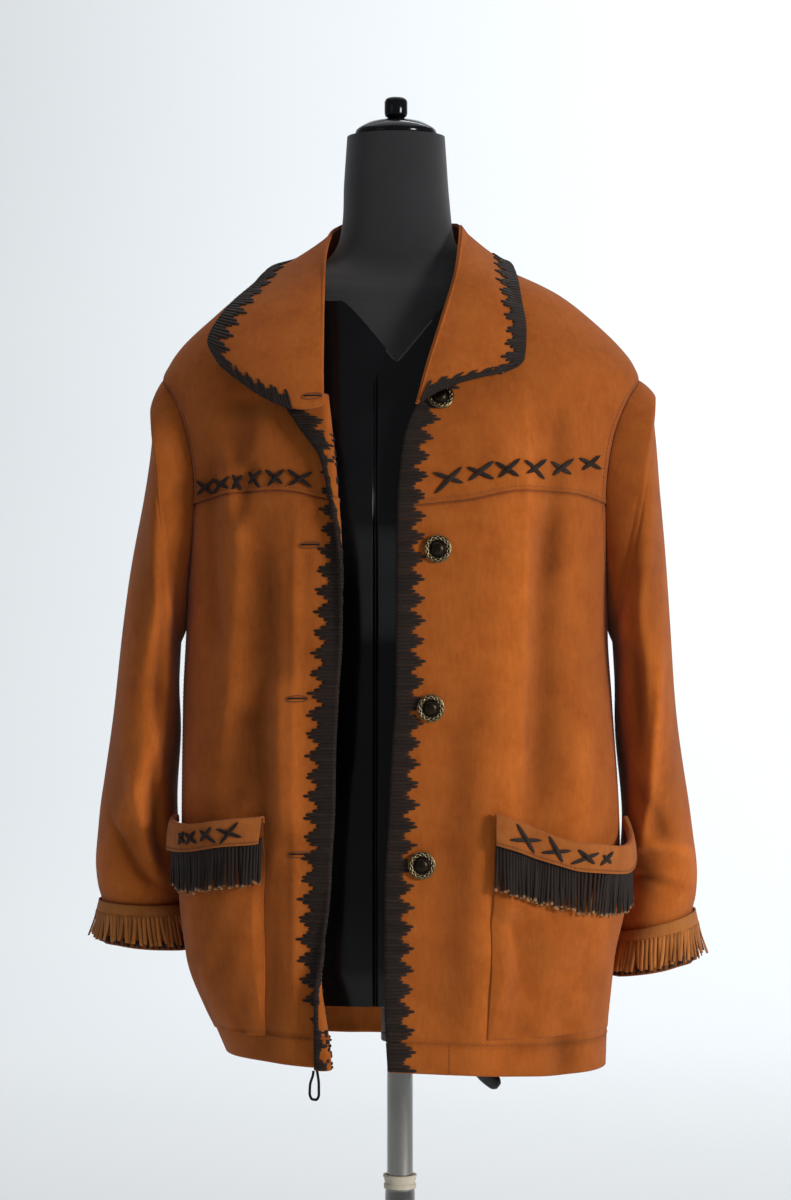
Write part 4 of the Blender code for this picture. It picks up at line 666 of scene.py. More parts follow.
# Sleeves: one suede tube each, set into the armhole with a soft puff at its head, rumpled at the elbow and
# pushed up over the cuff. The cuff's own band is a second layer, cut into fringe.
LEFT_SLEEVE = table(
    "ring outer outer_height inner inner_height front back",
    (1, 0.2510, 1.302, 0.2110, 1.075, -0.066, 0.068), (2, 0.2550, 1.263, 0.2135, 1.045, -0.076, 0.077),
    (3, 0.2600, 1.205, 0.2150, 1.010, -0.080, 0.084), (4, 0.2650, 1.125, 0.2175, 0.965, -0.078, 0.088),
    (5, 0.2740, 1.030, 0.2200, 0.915, -0.070, 0.092), (6, 0.2840, 0.940, 0.2228, 0.865, -0.055, 0.098),
    (7, 0.2930, 0.865, 0.2232, 0.815, -0.040, 0.100), (8, 0.2980, 0.790, 0.2155, 0.768, -0.030, 0.092),
    (9, 0.2990, 0.738, 0.2130, 0.722, -0.022, 0.088),
)
RIGHT_SLEEVE = table(
    "ring outer outer_height inner inner_height front back",
    (1, 0.2450, 1.290, 0.2170, 1.075, -0.066, 0.068), (2, 0.2480, 1.252, 0.2200, 1.045, -0.076, 0.077),
    (3, 0.2560, 1.200, 0.2210, 1.010, -0.080, 0.084), (4, 0.2690, 1.120, 0.2215, 0.965, -0.078, 0.088),
    (5, 0.2840, 1.020, 0.2222, 0.915, -0.070, 0.092), (6, 0.2960, 0.930, 0.2222, 0.868, -0.055, 0.098),
    (7, 0.3020, 0.868, 0.2205, 0.830, -0.040, 0.100), (8, 0.3035, 0.800, 0.2140, 0.796, -0.030, 0.092),
    (9, 0.3030, 0.757, 0.2105, 0.749, -0.022, 0.088),
)
# Folds across the sleeves: where they start and end, along the sleeve (ring) and round it (quarter turns)
SLEEVE_FOLDS = table(
    "side ring_a turn_a ring_b turn_b lift spread",
    (1, 1.6, 0.45, 4.6, 1.15, 0.0030, 0.16), (1, 2.2, 0.70, 5.0, 0.75, -0.0034, 0.14),
    (1, 4.4, 1.25, 6.6, 0.65, 0.0030, 0.14), (1, 5.2, 0.55, 6.9, 1.20, -0.0030, 0.12),
    (1, 6.4, 0.60, 7.2, 1.60, 0.0034, 0.13), (1, 6.9, 0.50, 7.6, 1.40, -0.0026, 0.10),
    (-1, 1.5, 0.60, 4.4, 1.10, 0.0030, 0.16), (-1, 2.0, 0.80, 4.8, 0.70, -0.0034, 0.14),
    (-1, 4.2, 0.60, 6.8, 1.30, 0.0034, 0.16), (-1, 5.0, 0.75, 6.9, 0.55, -0.0040, 0.13),
    (-1, 5.6, 1.05, 7.3, 0.70, 0.0036, 0.13), (-1, 6.6, 1.40, 7.5, 0.80, -0.0030, 0.12),
    (1, 3.0, 3.2, 5.5, 2.7, 0.0030, 0.18), (1, 5.0, 2.6, 7.0, 3.3, -0.0030, 0.15),
    (-1, 3.0, 2.8, 5.5, 3.3, 0.0030, 0.18), (-1, 5.0, 3.3, 7.0, 2.7, -0.0030, 0.15),
)
FOLD_DEPTH = 1.6
CUFF_STRANDS = 72
BAND_TOP, BAND_CUT, FRINGE_END, SLEEVE_END = 8.03, 8.24, 8.86, 9.0


def armhole_at(side, turn):
    """The armhole's seam: an oval on the coat's side, from the armpit up the front and down the back."""
    height = ARMHOLE_MIDDLE - ARMHOLE_HALF * np.cos(turn)
    before = turn_at_depth(side, ARMHOLE_DEEP[True] * np.abs(np.sin(turn)), height, True)
    behind = turn_at_depth(side, ARMHOLE_DEEP[False] * np.abs(np.sin(turn)), height, False)
    return coat_at(np.where(np.sin(turn) >= 0, before, behind), height)


def sleeve_at(side, ring, turn):
    """Slanted ovals from the armhole (ring 0) to the sleeve's end (ring 9): half-way between an inner and an
    outer line, with bell-shaped folds along slanting lines and a roll of cloth above the cuff. It gives the
    points and how far the folds lift them."""
    ring, turn = np.broadcast_arrays(np.asarray(ring, float), np.asarray(turn, float))
    at = follow_all(LEFT_SLEEVE if side > 0 else RIGHT_SLEEVE, ring)
    c, s = np.cos(turn), np.sin(turn)
    lift = 0.0016 * np.sin(ring * 2.1 + turn * 2) * fade(ring, 2, 4)
    for which, ring_a, turn_a, ring_b, turn_b, high, spread in zip(*SLEEVE_FOLDS.values()):
        if which == side:
            part = (ring - ring_a) / (ring_b - ring_a)
            line = (turn_a + (turn_b - turn_a) * part) * math.pi / 2
            apart = np.angle(np.exp(1j * (turn - line))) * 2 / math.pi
            ends = fade(part, -0.15, 0.25) * (1 - fade(part, 0.75, 1.15))
            lift = lift + FOLD_DEPTH * high * ends * bell(apart, 0, spread)
    lift = lift + 0.0030 * bell(ring, 7.45, 0.38) - 0.0020 * bell(ring, 8.0, 0.14)
    lift = lift + 0.0012 * np.sin(turn * 9 + 2 * np.sin(turn * 2)) * fade(ring, 8.3, 8.9)
    x = (at["outer"] + at["inner"]) / 2 - ((at["outer"] - at["inner"]) / 2 + lift) * c
    z = (at["outer_height"] + at["inner_height"]) / 2 - (at["outer_height"] - at["inner_height"]) / 2 * c
    y = (at["front"] + at["back"]) / 2 - ((at["back"] - at["front"]) / 2 + lift) * s
    drawn = np.stack([side * x, y, z], -1)
    near = fade(ring, 0.0, 1.0)[..., None] * 0.35 + np.clip(ring, 0, 1)[..., None] * 0.65
    puff = 0.0045 * np.sin(np.pi * np.clip(ring, 0, 1.6) / 1.6)
    out = np.stack([-side * c, -s, -0.4 * c], -1)
    return armhole_at(side, turn) * (1 - near) + drawn * near + out * puff[..., None], lift


def away_from(points, middle):
    """Level directions from a middle out to the points, for what stands off a cuff."""
    return unit((points - middle) * np.array([1.0, 0.8, 0.0]))


def strands(root, tip, out, across, width, wave, thin=0.0012, rows=7):
    """Fringe: many thin straps, each a flat bar bent in a slight arc from its root to its tip. wave holds
    each strap's arc outwards, its drift aside and its twist."""
    v = np.linspace(0, 1, rows)[None, :, None, None]
    corner = np.array([(-1, 1), (1, 1), (1, -1), (-1, -1)], float)[None, None, :, :]
    root, tip, out, across = (given[:, None, None] for given in (root, tip, out, across))
    arc, drift, twist = wave.T[..., None, None, None]
    line = root + (tip - root) * v + out * (arc * np.sin(v * math.pi / 2) * v) + across * (drift * v * v)
    side = across * np.cos(twist * v) + out * np.sin(twist * v)
    face = out * np.cos(twist * v) - across * np.sin(twist * v)
    half = width[:, None, None, None] / 2 * (1 - 0.12 * v)
    return capped(line + side * (corner[..., :1] * half) + face * (corner[..., 1:] * thin / 2))


def hashed(count, seed):
    """Even but irregular numbers from 0 to 1, the same at each run."""
    return np.mod(np.sin(np.arange(count) * 12.9898 + seed * 78.233) * 43758.5453, 1.0)


def waves(count, seed, arc, drift, twist):
    """Each strand's arc outwards (least, range), drift aside and twist, with irregular numbers."""
    return np.stack([arc[0] + arc[1] * hashed(count, seed), drift * (hashed(count, seed + 1) - 0.5),
                     twist * (hashed(count, seed + 2) - 0.5)], -1)


def thong():
    """Dark brown leather thong, scuffed lighter in specks. A piece's shade over 1.4 turns it tan, as on the
    cut ends of the pocket fringe."""
    made, tree, shader = finish_of("dark_brown_thong",
                                   {"Sheen Weight": 0.04, "Specular IOR Level": 0.22})
    shade = shade_in(tree)
    scuff = noise(tree, place_in(tree), 420.0, 5.0, 0.7)
    worn = ramp(tree, scuff, 0.5, 0.8, 0.0, 0.55)
    leather = mix(tree, worn, (0.0150, 0.0080, 0.0055), (0.052, 0.027, 0.016))
    leather = tinted(tree, leather, maths(tree, "MINIMUM", shade, 1.35))
    wire(tree, shader, {"Base Color": mix(tree, ramp(tree, shade, 1.40, 1.75), leather, (0.40, 0.20, 0.085)),
                        "Roughness": ramp(tree, scuff, 0.0, 1.0, 0.50, 0.82),
                        "Normal": bump(tree, scuff, 0.4, 0.0004)})
    return made


tan_suede = suede("tan_fringe_suede", (0.42, 0.145, 0.034), (0.52, 0.20, 0.055), (0.18, 0.050, 0.012))
dark_thong = thong()
for side, word in SIDES:
    ring = np.concatenate([np.linspace(0, 1.2, 26)[:-1], np.linspace(1.2, SLEEVE_END, 170)])[:, None]
    points, lift = sleeve_at(side, ring, all_round(120)[None, :])
    # Painted shade: darker in the armhole seam, in the fold troughs and under the cuff band, lighter on the
    # fold ridges
    shade = (1 - 0.22 * bell(ring, 0, 0.05)) * painted_fold_shading(lift, 2.0) * (1 - 0.35 * fade(ring, 8.1, 8.5))
    sleeve = thick(piece(f"sleeve_{word}", points, cognac, f"{word}_sleeve", around=True, shade=shade,
                         flip=side > 0))

    down = np.linspace(0, 1, 9)[:, None]
    ring = np.linspace(BAND_TOP - 0.02, BAND_CUT + 0.03, 9)[:, None]
    points, _ = sleeve_at(side, ring, all_round(160)[None, :])
    points = points + away_from(points, points.mean(1, keepdims=True)) * (0.0032 + 0.0012 * down)[..., None]
    # The band is painted darker towards its top edge, as shade where it meets the sleeve
    band = thick(piece(f"cuff_band_{word}", points, tan_suede, around=True, shade=1.0 - 0.15 * (1 - down),
                       flip=side > 0), 0.0015)

    count = CUFF_STRANDS
    turn = np.arange(count) * 2 * math.pi / count + 0.01 * (hashed(count, 1 + side) - 0.5)
    root, _ = sleeve_at(side, BAND_CUT, turn)
    tip, _ = sleeve_at(side, FRINGE_END + 0.10 * (hashed(count, 2) - 0.5), turn)
    flare = away_from(root, root.mean(0))
    grid = strands(root + flare * 0.0042, tip + flare * (0.0040 + 0.003 * hashed(count, 9))[:, None], flare,
                   unit(np.cross(flare, np.array([0, 0, 1.0]))), 0.0035 + 0.0006 * hashed(count, 6),
                   waves(count, 3, (0.002, 0.004), 0.006, 0.9))
    tone = (0.72 + 0.5 * hashed(count, 7))[:, None, None] * np.ones((1, 9, 4))
    # The inner side of each strand lies in the sleeve's shade
    tone[:, :, 2:] = 0.16
    closed(f"cuff_fringe_{word}", grid, tan_suede, f"{word}_cuff_fringe", shade=tone)


# Collar: one suede piece that stands at the neckline, turns over its fold and falls over the shoulders. On
# the wearer's right it runs on into the lapel, on the left it ends in a rounded corner.
COLLAR = table(
    "place base_x base_y base_z fold_x fold_y fold_z mid_x mid_y mid_z edge_x edge_y edge_z",
    (-6, -0.0790, -0.124, 1.292, -0.0728, -0.140, 1.288, -0.116, -0.134, 1.288, -0.176, -0.100, 1.330),
    (-5, -0.0790, -0.110, 1.325, -0.0735, -0.126, 1.325, -0.128, -0.116, 1.332, -0.187, -0.082, 1.352),
    (-4, -0.0800, -0.090, 1.365, -0.0735, -0.104, 1.368, -0.124, -0.094, 1.370, -0.174, -0.066, 1.380),
    (-3, -0.0805, -0.060, 1.410, -0.0730, -0.066, 1.424, -0.112, -0.058, 1.412, -0.150, -0.040, 1.407),
    (-2, -0.0850, -0.004, 1.4395, -0.0680, -0.006, 1.466, -0.096, 0.006, 1.447, -0.122, 0.012, 1.430),
    (-1, -0.0620, 0.060, 1.4395, -0.0520, 0.054, 1.483, -0.073, 0.076, 1.452, -0.092, 0.092, 1.419),
    (0, 0.0, 0.0815, 1.4395, 0.0, 0.0755, 1.486, 0.0, 0.099, 1.452, 0.0, 0.107, 1.408),
    (1, 0.0620, 0.060, 1.4395, 0.0500, 0.054, 1.483, 0.071, 0.076, 1.453, 0.090, 0.091, 1.421),
    (2, 0.0850, -0.004, 1.4395, 0.0590, -0.004, 1.474, 0.084, 0.004, 1.453, 0.106, 0.010, 1.437),
    (3, 0.0720, -0.060, 1.410, 0.0540, -0.062, 1.428, 0.085, -0.066, 1.414, 0.116, -0.052, 1.402),
    (4, 0.0620, -0.088, 1.370, 0.0385, -0.100, 1.372, 0.082, -0.096, 1.368, 0.122, -0.080, 1.366),
    (5, 0.0480, -0.108, 1.330, 0.0250, -0.122, 1.328, 0.072, -0.116, 1.332, 0.1195, -0.096, 1.334),
    (6, 0.0300, -0.124, 1.302, 0.0145, -0.136, 1.288, 0.048, -0.130, 1.306, 0.0995, -0.108, 1.320),
)


def above_coat(points, lead):
    """Moves points out along the coat's normal until each is at least lead clear of the coat."""
    height = np.clip(points[..., 2], HEM, SHOULDER - 2e-4)
    turn = np.arctan2(points[..., 0], follow(BODY, "middle", height) - points[..., 1])
    out = coat_out(turn, height)
    gap = ((points - coat_at(turn, height)) * out).sum(-1)
    return points + out * np.maximum(lead - gap, 0)[..., None]


def collar_at(place, fall):
    """Fall -1 to 0 climbs straight from the neckline to the fold, and 0 to 1 is a parabola from the fold
    through the middle line to the edge, all kept clear of the coat."""
    place, fall = np.broadcast_arrays(np.asarray(place, float), np.asarray(fall, float))
    base, fold, mid, edge = (np.stack([follow(COLLAR, f"{part}_{axis}", place) for axis in "xyz"], -1)
                             for part in ("base", "fold", "mid", "edge"))
    t = np.clip(fall, 0, 1.2)[..., None]
    over = fold * (1 - t) ** 2 + (2 * mid - (fold + edge) / 2) * 2 * t * (1 - t) + edge * t * t
    points = np.where(fall[..., None] <= 0, base + (fold - base) * (1 + np.minimum(fall, 0)[..., None]), over)
    lead = np.interp(fall, [-1.0, -0.55, -0.12, 0.09, 0.9, 1.0],
                     [0.0010, 0.0030, 0.0050, 0.0068, 0.0096, 0.0096])
    lead = lead + 0.0016 * fade(-place, 5.2, 5.9) * fade(fall, -0.1, 0.3)
    lead = np.where((np.abs(place) < 2.4) & (fall < 0.05), -1.0, lead)
    lead = lead + 0.0010 * np.sin(place * 2.3) * fade(fall, 0.3, 0.9)
    return above_coat(points, lead)


def collar_out(place, fall):
    return normal_of(collar_at, place, fall, 1e-3)


COLLAR_END = 6.0
place = np.linspace(-COLLAR_END, COLLAR_END, 260)[None, :]
fall = np.concatenate([np.linspace(-1, 0, 18)[:-1], np.linspace(0, 1, 60)])[:, None]
collar = thick(piece("coat_collar", collar_at(place, fall), cognac, "collar",
                     shade=1.04 + 0.05 * bell(fall, 0, 0.06)))


# Pockets: a layer on each side front that stands off at its mouth, with a turned-down band and a dark
# fringe hanging out from under the band.
POCKET_FOOT = 0.674
# Across, where a pocket's inner edge starts at its mouth and at its foot
POCKET_INNER = {1: (0.0870, 0.0800), -1: (0.1340, 0.1340)}
POCKET_STRANDS = {1: 62, -1: 44}
LEFT_POCKET = table(
    "along top depth stand_off fringe",
    (0.0, 0.896, 0.030, 0.0015, 0.043), (0.25, 0.880, 0.028, 0.007, 0.040),
    (0.50, 0.866, 0.027, 0.015, 0.038), (0.75, 0.861, 0.027, 0.017, 0.038),
    (0.92, 0.872, 0.026, 0.009, 0.041), (1.0, 0.886, 0.026, 0.0015, 0.045),
)
RIGHT_POCKET = table(
    "along top depth stand_off fringe",
    (0.0, 0.892, 0.026, 0.0015, 0.038), (0.30, 0.887, 0.025, 0.008, 0.039),
    (0.60, 0.882, 0.026, 0.012, 0.040), (0.85, 0.884, 0.028, 0.009, 0.034),
    (1.0, 0.888, 0.031, 0.0015, 0.030),
)
POCKETS = {1: LEFT_POCKET, -1: RIGHT_POCKET}


def pocket_at(side, along, height, lift):
    """Over the front: along runs from the pocket's inner edge (0) to its side end (1)."""
    upper, lower = POCKET_INNER[side]
    share = np.clip((height - POCKET_FOOT) / (0.89 - POCKET_FOOT), 0, 1)
    first = turn_at_x(side * (lower + (upper - lower) * share), height)
    turn = first + (turn_at_depth(side, 0.030, height) - first) * along
    out = coat_out(turn, height)
    return coat_at(turn, height) + out * np.asarray(lift)[..., None], out


def pocket_lift(side, along, height):
    """How far the pocket's own outside stands off the front, from sewn at its foot to open at its mouth."""
    top, stand = follow(POCKETS[side], "top", along), follow(POCKETS[side], "stand_off", along)
    share = np.clip((height - POCKET_FOOT) / (top - POCKET_FOOT), 0, 1)
    inwards = np.maximum(fade(along, 0.0, 0.10) * fade(1 - along, 0.0, 0.06), fade(share, 0.80, 0.90))
    return 0.0006 + (LEATHER + 0.0024) * np.minimum(fade(share, 0.0, 0.40), inwards) + stand * share**1.6


def band_at(side, along, row):
    """The band's outside: row 0 at its lower edge, 1 at the mouth, and past 1 over it to the inside."""
    along, row = np.broadcast_arrays(np.asarray(along, float), np.asarray(row, float))
    top, depth = follow(POCKETS[side], "top", along), follow(POCKETS[side], "depth", along)
    height = top - depth * (1 - np.minimum(row, 1)) + 0.0009 * np.sin(np.clip(row - 1, 0, 1) * math.pi)
    height = height - 0.006 * np.clip(row - 2, 0, 1)
    over = np.interp(row, [0, 0.25, 0.5, 0.85, 1.0, 1.5, 2.0, 3.0],
                     [0.0072, 0.0066, 0.0058, 0.0036, 0.0024, 0.0, -0.0036, -0.0040])
    over = over + pocket_lift(side, along, height)
    return pocket_at(side, along, height, over + 0.0005 * np.sin(along * 23) * np.clip(1 - row, 0, 1))


def nearest(grid, x, z, reach=8):
    """The place on a grid of points seen from the front at x, z: the mean of the closest few, by distance."""
    flat = grid.reshape(-1, 3)
    apart = np.hypot(flat[None, :, 0] - x.ravel()[:, None], flat[None, :, 2] - z.ravel()[:, None])
    pick = np.argpartition(apart, reach, axis=1)[:, :reach]
    weight = 1 / (np.take_along_axis(apart, pick, 1) + 4e-4) ** 2
    depth = (flat[pick, 1] * weight).sum(1) / weight.sum(1)
    return np.stack([x, depth.reshape(x.shape), z], -1)


band_suede = suede("band_suede", (0.36, 0.105, 0.022), (0.46, 0.155, 0.040), (0.20, 0.050, 0.011))
for side, word in SIDES:
    tab = POCKETS[side]
    foot = POCKET_FOOT + 0.006
    along, share = np.broadcast_arrays(np.linspace(0, 1, 110)[None, :], np.linspace(0, 1, 90)[:, None])
    height = foot + (follow(tab, "top", along) - foot) * share
    points, out = pocket_at(side, along, height, pocket_lift(side, along, height))
    rumple = 0.0010 * np.sin(along * 17 + share * 6) * np.sin(share * 9 + along * 4)
    # Painted shade: darker along the inner edge, much darker under the band, and in the rumples' troughs
    shade = ((1 - 0.10 * bell(along, 0, 0.012) * fade(share, 0.2, 0.6)) * (1 - 0.55 * fade(share, 0.62, 0.80))
             * painted_fold_shading(rumple, 2.0))
    points = points + out * rumple[..., None]
    layer = thick(piece(f"pocket_{word}", points, cognac, f"{word}_pocket", shade=shade, flip=side < 0))

    row = np.concatenate([np.linspace(0, 1, 30)[:-1], np.linspace(1, 2, 8)[:-1], np.linspace(2, 3, 4)])
    row = row[:, None]
    points, _ = band_at(side, along[:1], row)
    # Painted shade along the band's stitched groove and at its lower edge
    shade = 1 - 0.25 * bell(row, 0.10, 0.03) - 0.10 * bell(row, 0, 0.04)
    band = piece(f"pocket_band_{word}", points, band_suede, f"{word}_pocket_band", shade=shade, flip=side < 0)
    thick(band, 0.0016)

    count = POCKET_STRANDS[side]
    along = np.linspace(0.012, 0.988, count) + 0.002 * (hashed(count, 11) - 0.5)
    top, depth, fringe = (follow(tab, name, along) for name in ("top", "depth", "fringe"))
    start, drop = top - depth + 0.006, top - depth - fringe + 0.004 * (hashed(count, 12) - 0.4)
    root, out = pocket_at(side, along, start, pocket_lift(side, along, start) + 0.0026)
    aside = along + 0.010 * (hashed(count, 13) - 0.5)
    tip, _ = pocket_at(side, aside, drop, pocket_lift(side, along, drop) + 0.0032)
    grid = strands(root, tip, out, unit(np.cross(out, root - tip)), 0.0029 + 0.0006 * hashed(count, 17),
                   waves(count, 14, (0.002, 0.003), 0.004, 0.5), rows=9)
    tone = (0.65 + 0.6 * hashed(count, 18))[:, None, None] * np.ones((1, 11, 4))
    tone[:, 9:] = 1.55 + 0.4 * hashed(count, 19)[:, None, None]
    closed(f"pocket_fringe_{word}", grid, dark_thong, f"{word}_pocket_fringe", shade=tone)


# Laced edges: dark thongs whipped side by side over both front edges and round the collar, each stitch as
# long as a row of teeth asks.
THONG_THICK, TEETH_PERIOD, COLLAR_TEETH_PERIOD = 0.00125, 0.0196, 0.0145


def run_of(line):
    """Lengths along a line of points, from 0 at its first."""
    return np.concatenate([[0], np.cumsum(np.linalg.norm(np.diff(line, axis=0), axis=1))])


def stitch_bodies(surface, begin, end, path, ring=6):
    """Many straps on a surface(u, d) -> (points, normals, inward). begin/end hold each strap's run along the
    edge in u, path is (count, rows, 3): distance from the edge, height over the surface, share of width."""
    angle = (np.arange(ring) + 0.5) * 2 * math.pi / ring
    side, up = np.cos(angle) * 1.15, np.sin(angle)
    distance, over, share = path[..., 0][..., None], path[..., 1][..., None], path[..., 2][..., None]
    u = begin[:, None, None] + (end - begin)[:, None, None] * (0.5 + 0.5 * side * np.clip(share, 0, 1))
    point, normal, inward = surface(np.clip(u, 0, 1), np.maximum(distance, 0) + 0 * u)
    rise = over + THONG_THICK / 2 * up * np.sqrt(np.clip(share, 0.02, 1))
    return point + normal * rise[..., None] + inward * np.minimum(distance, 0)[..., None]


def laced(name, surface, period, seed, stands_for=(), pitch=0.0035, first=0.0135, teeth=0.0145, phase=0.0):
    """Whipped lacing along the edge u 0..1 of a surface(u, d): each stitch comes up the inside, turns over
    the edge and reaches inwards by the least reach and its part of a tooth."""
    fine = np.linspace(0, 1, 900)
    run = run_of(surface(fine, np.zeros(900))[0])
    count = int(run[-1] / pitch)
    mark = (np.arange(count) + 0.5) * run[-1] / count
    jitter = 0.00035 * (hashed(count, 21 + seed) - 0.5)
    begin, end = (np.interp(mark + way * pitch / 2 + jitter, run, fine) for way in (-1, 1))
    saw = np.abs(np.mod(mark / period + phase, 1.0) * 2 - 1)
    reach = first + teeth * saw + 0.0022 * (hashed(count, 22 + seed) - 0.5)
    bulge = 0.0002 * (hashed(count, 23 + seed) - 0.5)
    under = -LEATHER - 0.0009
    ones = np.ones(count)
    rows = [(reach, under + 0.0004, 0.2), (reach * 0.92, under, 0.8), (reach * 0.55, under, 1),
            (reach * 0.1, under, 1), (-0.0010, under + 0.0006, 1), (-0.0016, -LEATHER / 2, 1),
            (-0.0010, 0.0004, 1), (reach * 0.06, 0.0010, 1), (reach * 0.30, 0.0010, 1),
            (reach * 0.60, 0.0010, 1), (reach * 0.86, 0.0009, 0.9), (reach * 0.96, 0.0005, 0.62),
            (reach, -0.0001, 0.15)]
    path = np.stack([np.stack([d * ones, n + bulge, w * ones], -1) for d, n, w in rows], 1)
    grid = stitch_bodies(surface, begin, end, path)
    tone = (0.75 + 0.6 * hashed(count, 24 + seed))[:, None, None] * np.ones(grid.shape[1:3])
    return piece(name, grid, dark_thong, stands_for, around=True, shade=tone)


def front_edge(side, low, high):
    """One front's laced edge from low to high, as a surface of the distance from the very edge."""
    level = np.linspace(low, high, 60)
    speed = np.linalg.norm(front_at(side, 0.03, level)[0] - front_at(side, 0.0, level)[0], axis=-1) / 0.03

    def surface(u, d):
        nominal = low + (high - low) * u
        across = d - (follow(RIGHT_ROLL, "width", nominal) if side < 0 else 0.0)
        # Metres past the fold, and a share of the panel inside it
        point, normal = front_at(side, *shares(across, nominal))
        return point, normal, unit(front_at(side, *shares(across + 0.0006, nominal))[0] - point)

    def shares(across, nominal):
        return np.where(across > 0, across / np.interp(nominal, level, speed), across), nominal

    return surface


laced("lacing_left_front", front_edge(1, HEM + 0.001, 1.325), TEETH_PERIOD, 0.1, "left_front_edging")
laced("lacing_right_front", front_edge(-1, HEM + 0.001, LAPEL_TOP - 0.001), TEETH_PERIOD, 0.2,
      "right_front_edging", phase=0.3)


def collar_edge(kind, top=0.0):
    """One of the collar's three laced edges: kind 0 is its long outer edge, and 1 and -1 are its left and
    right ends, laced from top, the share of their fall where the lacing starts, down to the corner."""
    place, fall = np.linspace(-COLLAR_END, COLLAR_END, 49), np.linspace(0, 1, 25)
    drop = np.diff(collar_at(place[None, :], np.linspace(0, 1, 40)[:, None]), axis=0)
    fall_length = np.linalg.norm(drop, axis=-1).sum(0)
    at_end = kind * COLLAR_END
    place_speed = np.linalg.norm(collar_at(at_end, fall) - collar_at(at_end * 0.96, fall), axis=-1) / 0.24

    def here(u, d):
        if kind == 0:
            where = -COLLAR_END + 2 * COLLAR_END * u
            return where, 1 - d / np.interp(where, place, fall_length)
        down = top + (1 - top) * u
        return at_end * (1 - d / np.interp(down, fall, place_speed) / COLLAR_END), down

    def surface(u, d):
        where, down = here(u, d)
        point = collar_at(where, down)
        inward = unit(collar_at(*here(u, d + 0.0004)) - point)
        return point, collar_out(np.clip(where, 0.002 - COLLAR_END, COLLAR_END - 0.002), down), inward

    return surface


laced("lacing_collar", collar_edge(0), COLLAR_TEETH_PERIOD, 0.3, "collar_edging", first=0.0120, teeth=0.0125)
laced("lacing_collar_left_end", collar_edge(1, 0.10), COLLAR_TEETH_PERIOD, 0.4, first=0.0115, teeth=0.0125)
laced("lacing_collar_right_end", collar_edge(-1, 0.37), COLLAR_TEETH_PERIOD, 0.5, first=0.0115, teeth=0.0110)


# Crossed thongs: two flat straps each, one over the other, in a row over each yoke seam and on each pocket
# band. Ends are given in millimetres across and up from the cross's middle.
LEFT_CROSSES = table(
    "across height ax az bx bz cx cz dx dz",
    (0.0465, 1.2155, -15.8, 6.5, 14.7, -4.0, 13.5, 12.5, -14.0, -14.7),
    (0.0762, 1.2213, -12.5, 6.0, 14.5, -6.0, 14.5, 12.5, -11.3, -7.7),
    (0.1045, 1.2251, -13.8, 7.5, 10.0, -7.2, 11.2, 11.0, -10.5, -8.5),
    (0.1290, 1.2251, -9.5, 9.5, 9.7, -9.2, 12.2, 11.0, -7.8, -4.0),
    (0.1550, 1.2255, -10.5, 8.5, 11.0, -4.0, 13.5, 12.0, -8.5, -5.5),
    (0.1835, 1.2280, -10.8, 10.3, 13.2, 0.0, 11.7, 14.0, -8.0, -2.0),
)
RIGHT_CROSSES = table(
    "across height ax az bx bz cx cz dx dz",
    (-0.1900, 1.2100, -9.0, 7.0, 8.0, -7.0, 8.5, 6.5, -8.5, -7.5),
    (-0.1735, 1.2125, -10.5, 5.5, 8.7, -4.5, 8.7, 7.0, -9.5, -9.5),
    (-0.1575, 1.2135, -4.5, 8.0, 4.5, -8.0, 5.0, 7.5, -5.0, -7.0),
    (-0.1405, 1.2165, -6.0, 8.0, 6.0, -9.0, 8.0, 9.0, -6.0, -5.0),
    (-0.1200, 1.2184, -10.0, 7.3, 8.2, -7.7, 9.5, 7.3, -7.5, -9.0),
    (-0.0955, 1.2175, -13.3, 8.3, 11.7, -10.5, 12.0, 5.0, -12.0, -8.0),
)
# Straps on the pocket bands, in millimetres across and up: first strap, then the one that crosses it
POCKET_STRAPS = table(
    "side ax az bx bz cx cz dx dz",
    (1, 103.7, 869.5, 134.5, 868.0, 110.7, 884.5, 127.6, 856.0),
    (1, 134.5, 851.5, 163.1, 852.7, 141.9, 867.0, 155.0, 841.9),
    (1, 162.6, 836.7, 190.7, 846.7, 169.8, 850.5, 186.0, 836.2),
    (1, 191.7, 839.5, 205.0, 851.5, 194.5, 849.1, 202.7, 840.5),
    (-1, -176.5, 875.2, -150.7, 867.5, -154.8, 882.3, -172.7, 860.8),
    (-1, -193.1, 871.6, -176.5, 859.8, -181.3, 875.2, -192.3, 860.8),
    (-1, -208.9, 873.2, -195.6, 863.7, -197.5, 876.0, -207.0, 861.8),
    (-1, -214.5, 875.1, -208.0, 865.6, -209.5, 877.0, -214.0, 863.7),
)
CROSS_SIZE = 0.955e-3
OVER_THE_OTHER = 0.0014


def straps(name, middles, ups, half, thin, stands_for, seed):
    """Flat straps along lines of points (count, rows, 3) with their surface normals, narrow at both ends."""
    count, rows = middles.shape[:2]
    along = unit(np.gradient(middles, axis=1))
    across = unit(np.cross(ups, along))
    t = np.linspace(0, 1, rows)
    share = np.clip(np.clip(np.minimum(t, 1 - t) / 0.22, 0, 1) ** 0.5, 0.12, 1)[None, :, None, None]
    angle = (np.arange(8) + 0.5) * 2 * math.pi / 8
    c = np.sign(np.cos(angle)) * np.abs(np.cos(angle)) ** 0.6
    s = np.sign(np.sin(angle)) * np.abs(np.sin(angle)) ** 0.8
    grid = capped(middles[:, :, None] + across[:, :, None] * (c[None, None, :, None] * half * share)
                  + ups[:, :, None] * (s[None, None, :, None] * thin / 2 * (0.4 + 0.6 * share)))
    tone = (0.8 + 0.55 * hashed(count, seed))[:, None, None] * np.ones(grid.shape[1:3])
    return piece(name, grid, dark_thong, stands_for, around=True, shade=tone)


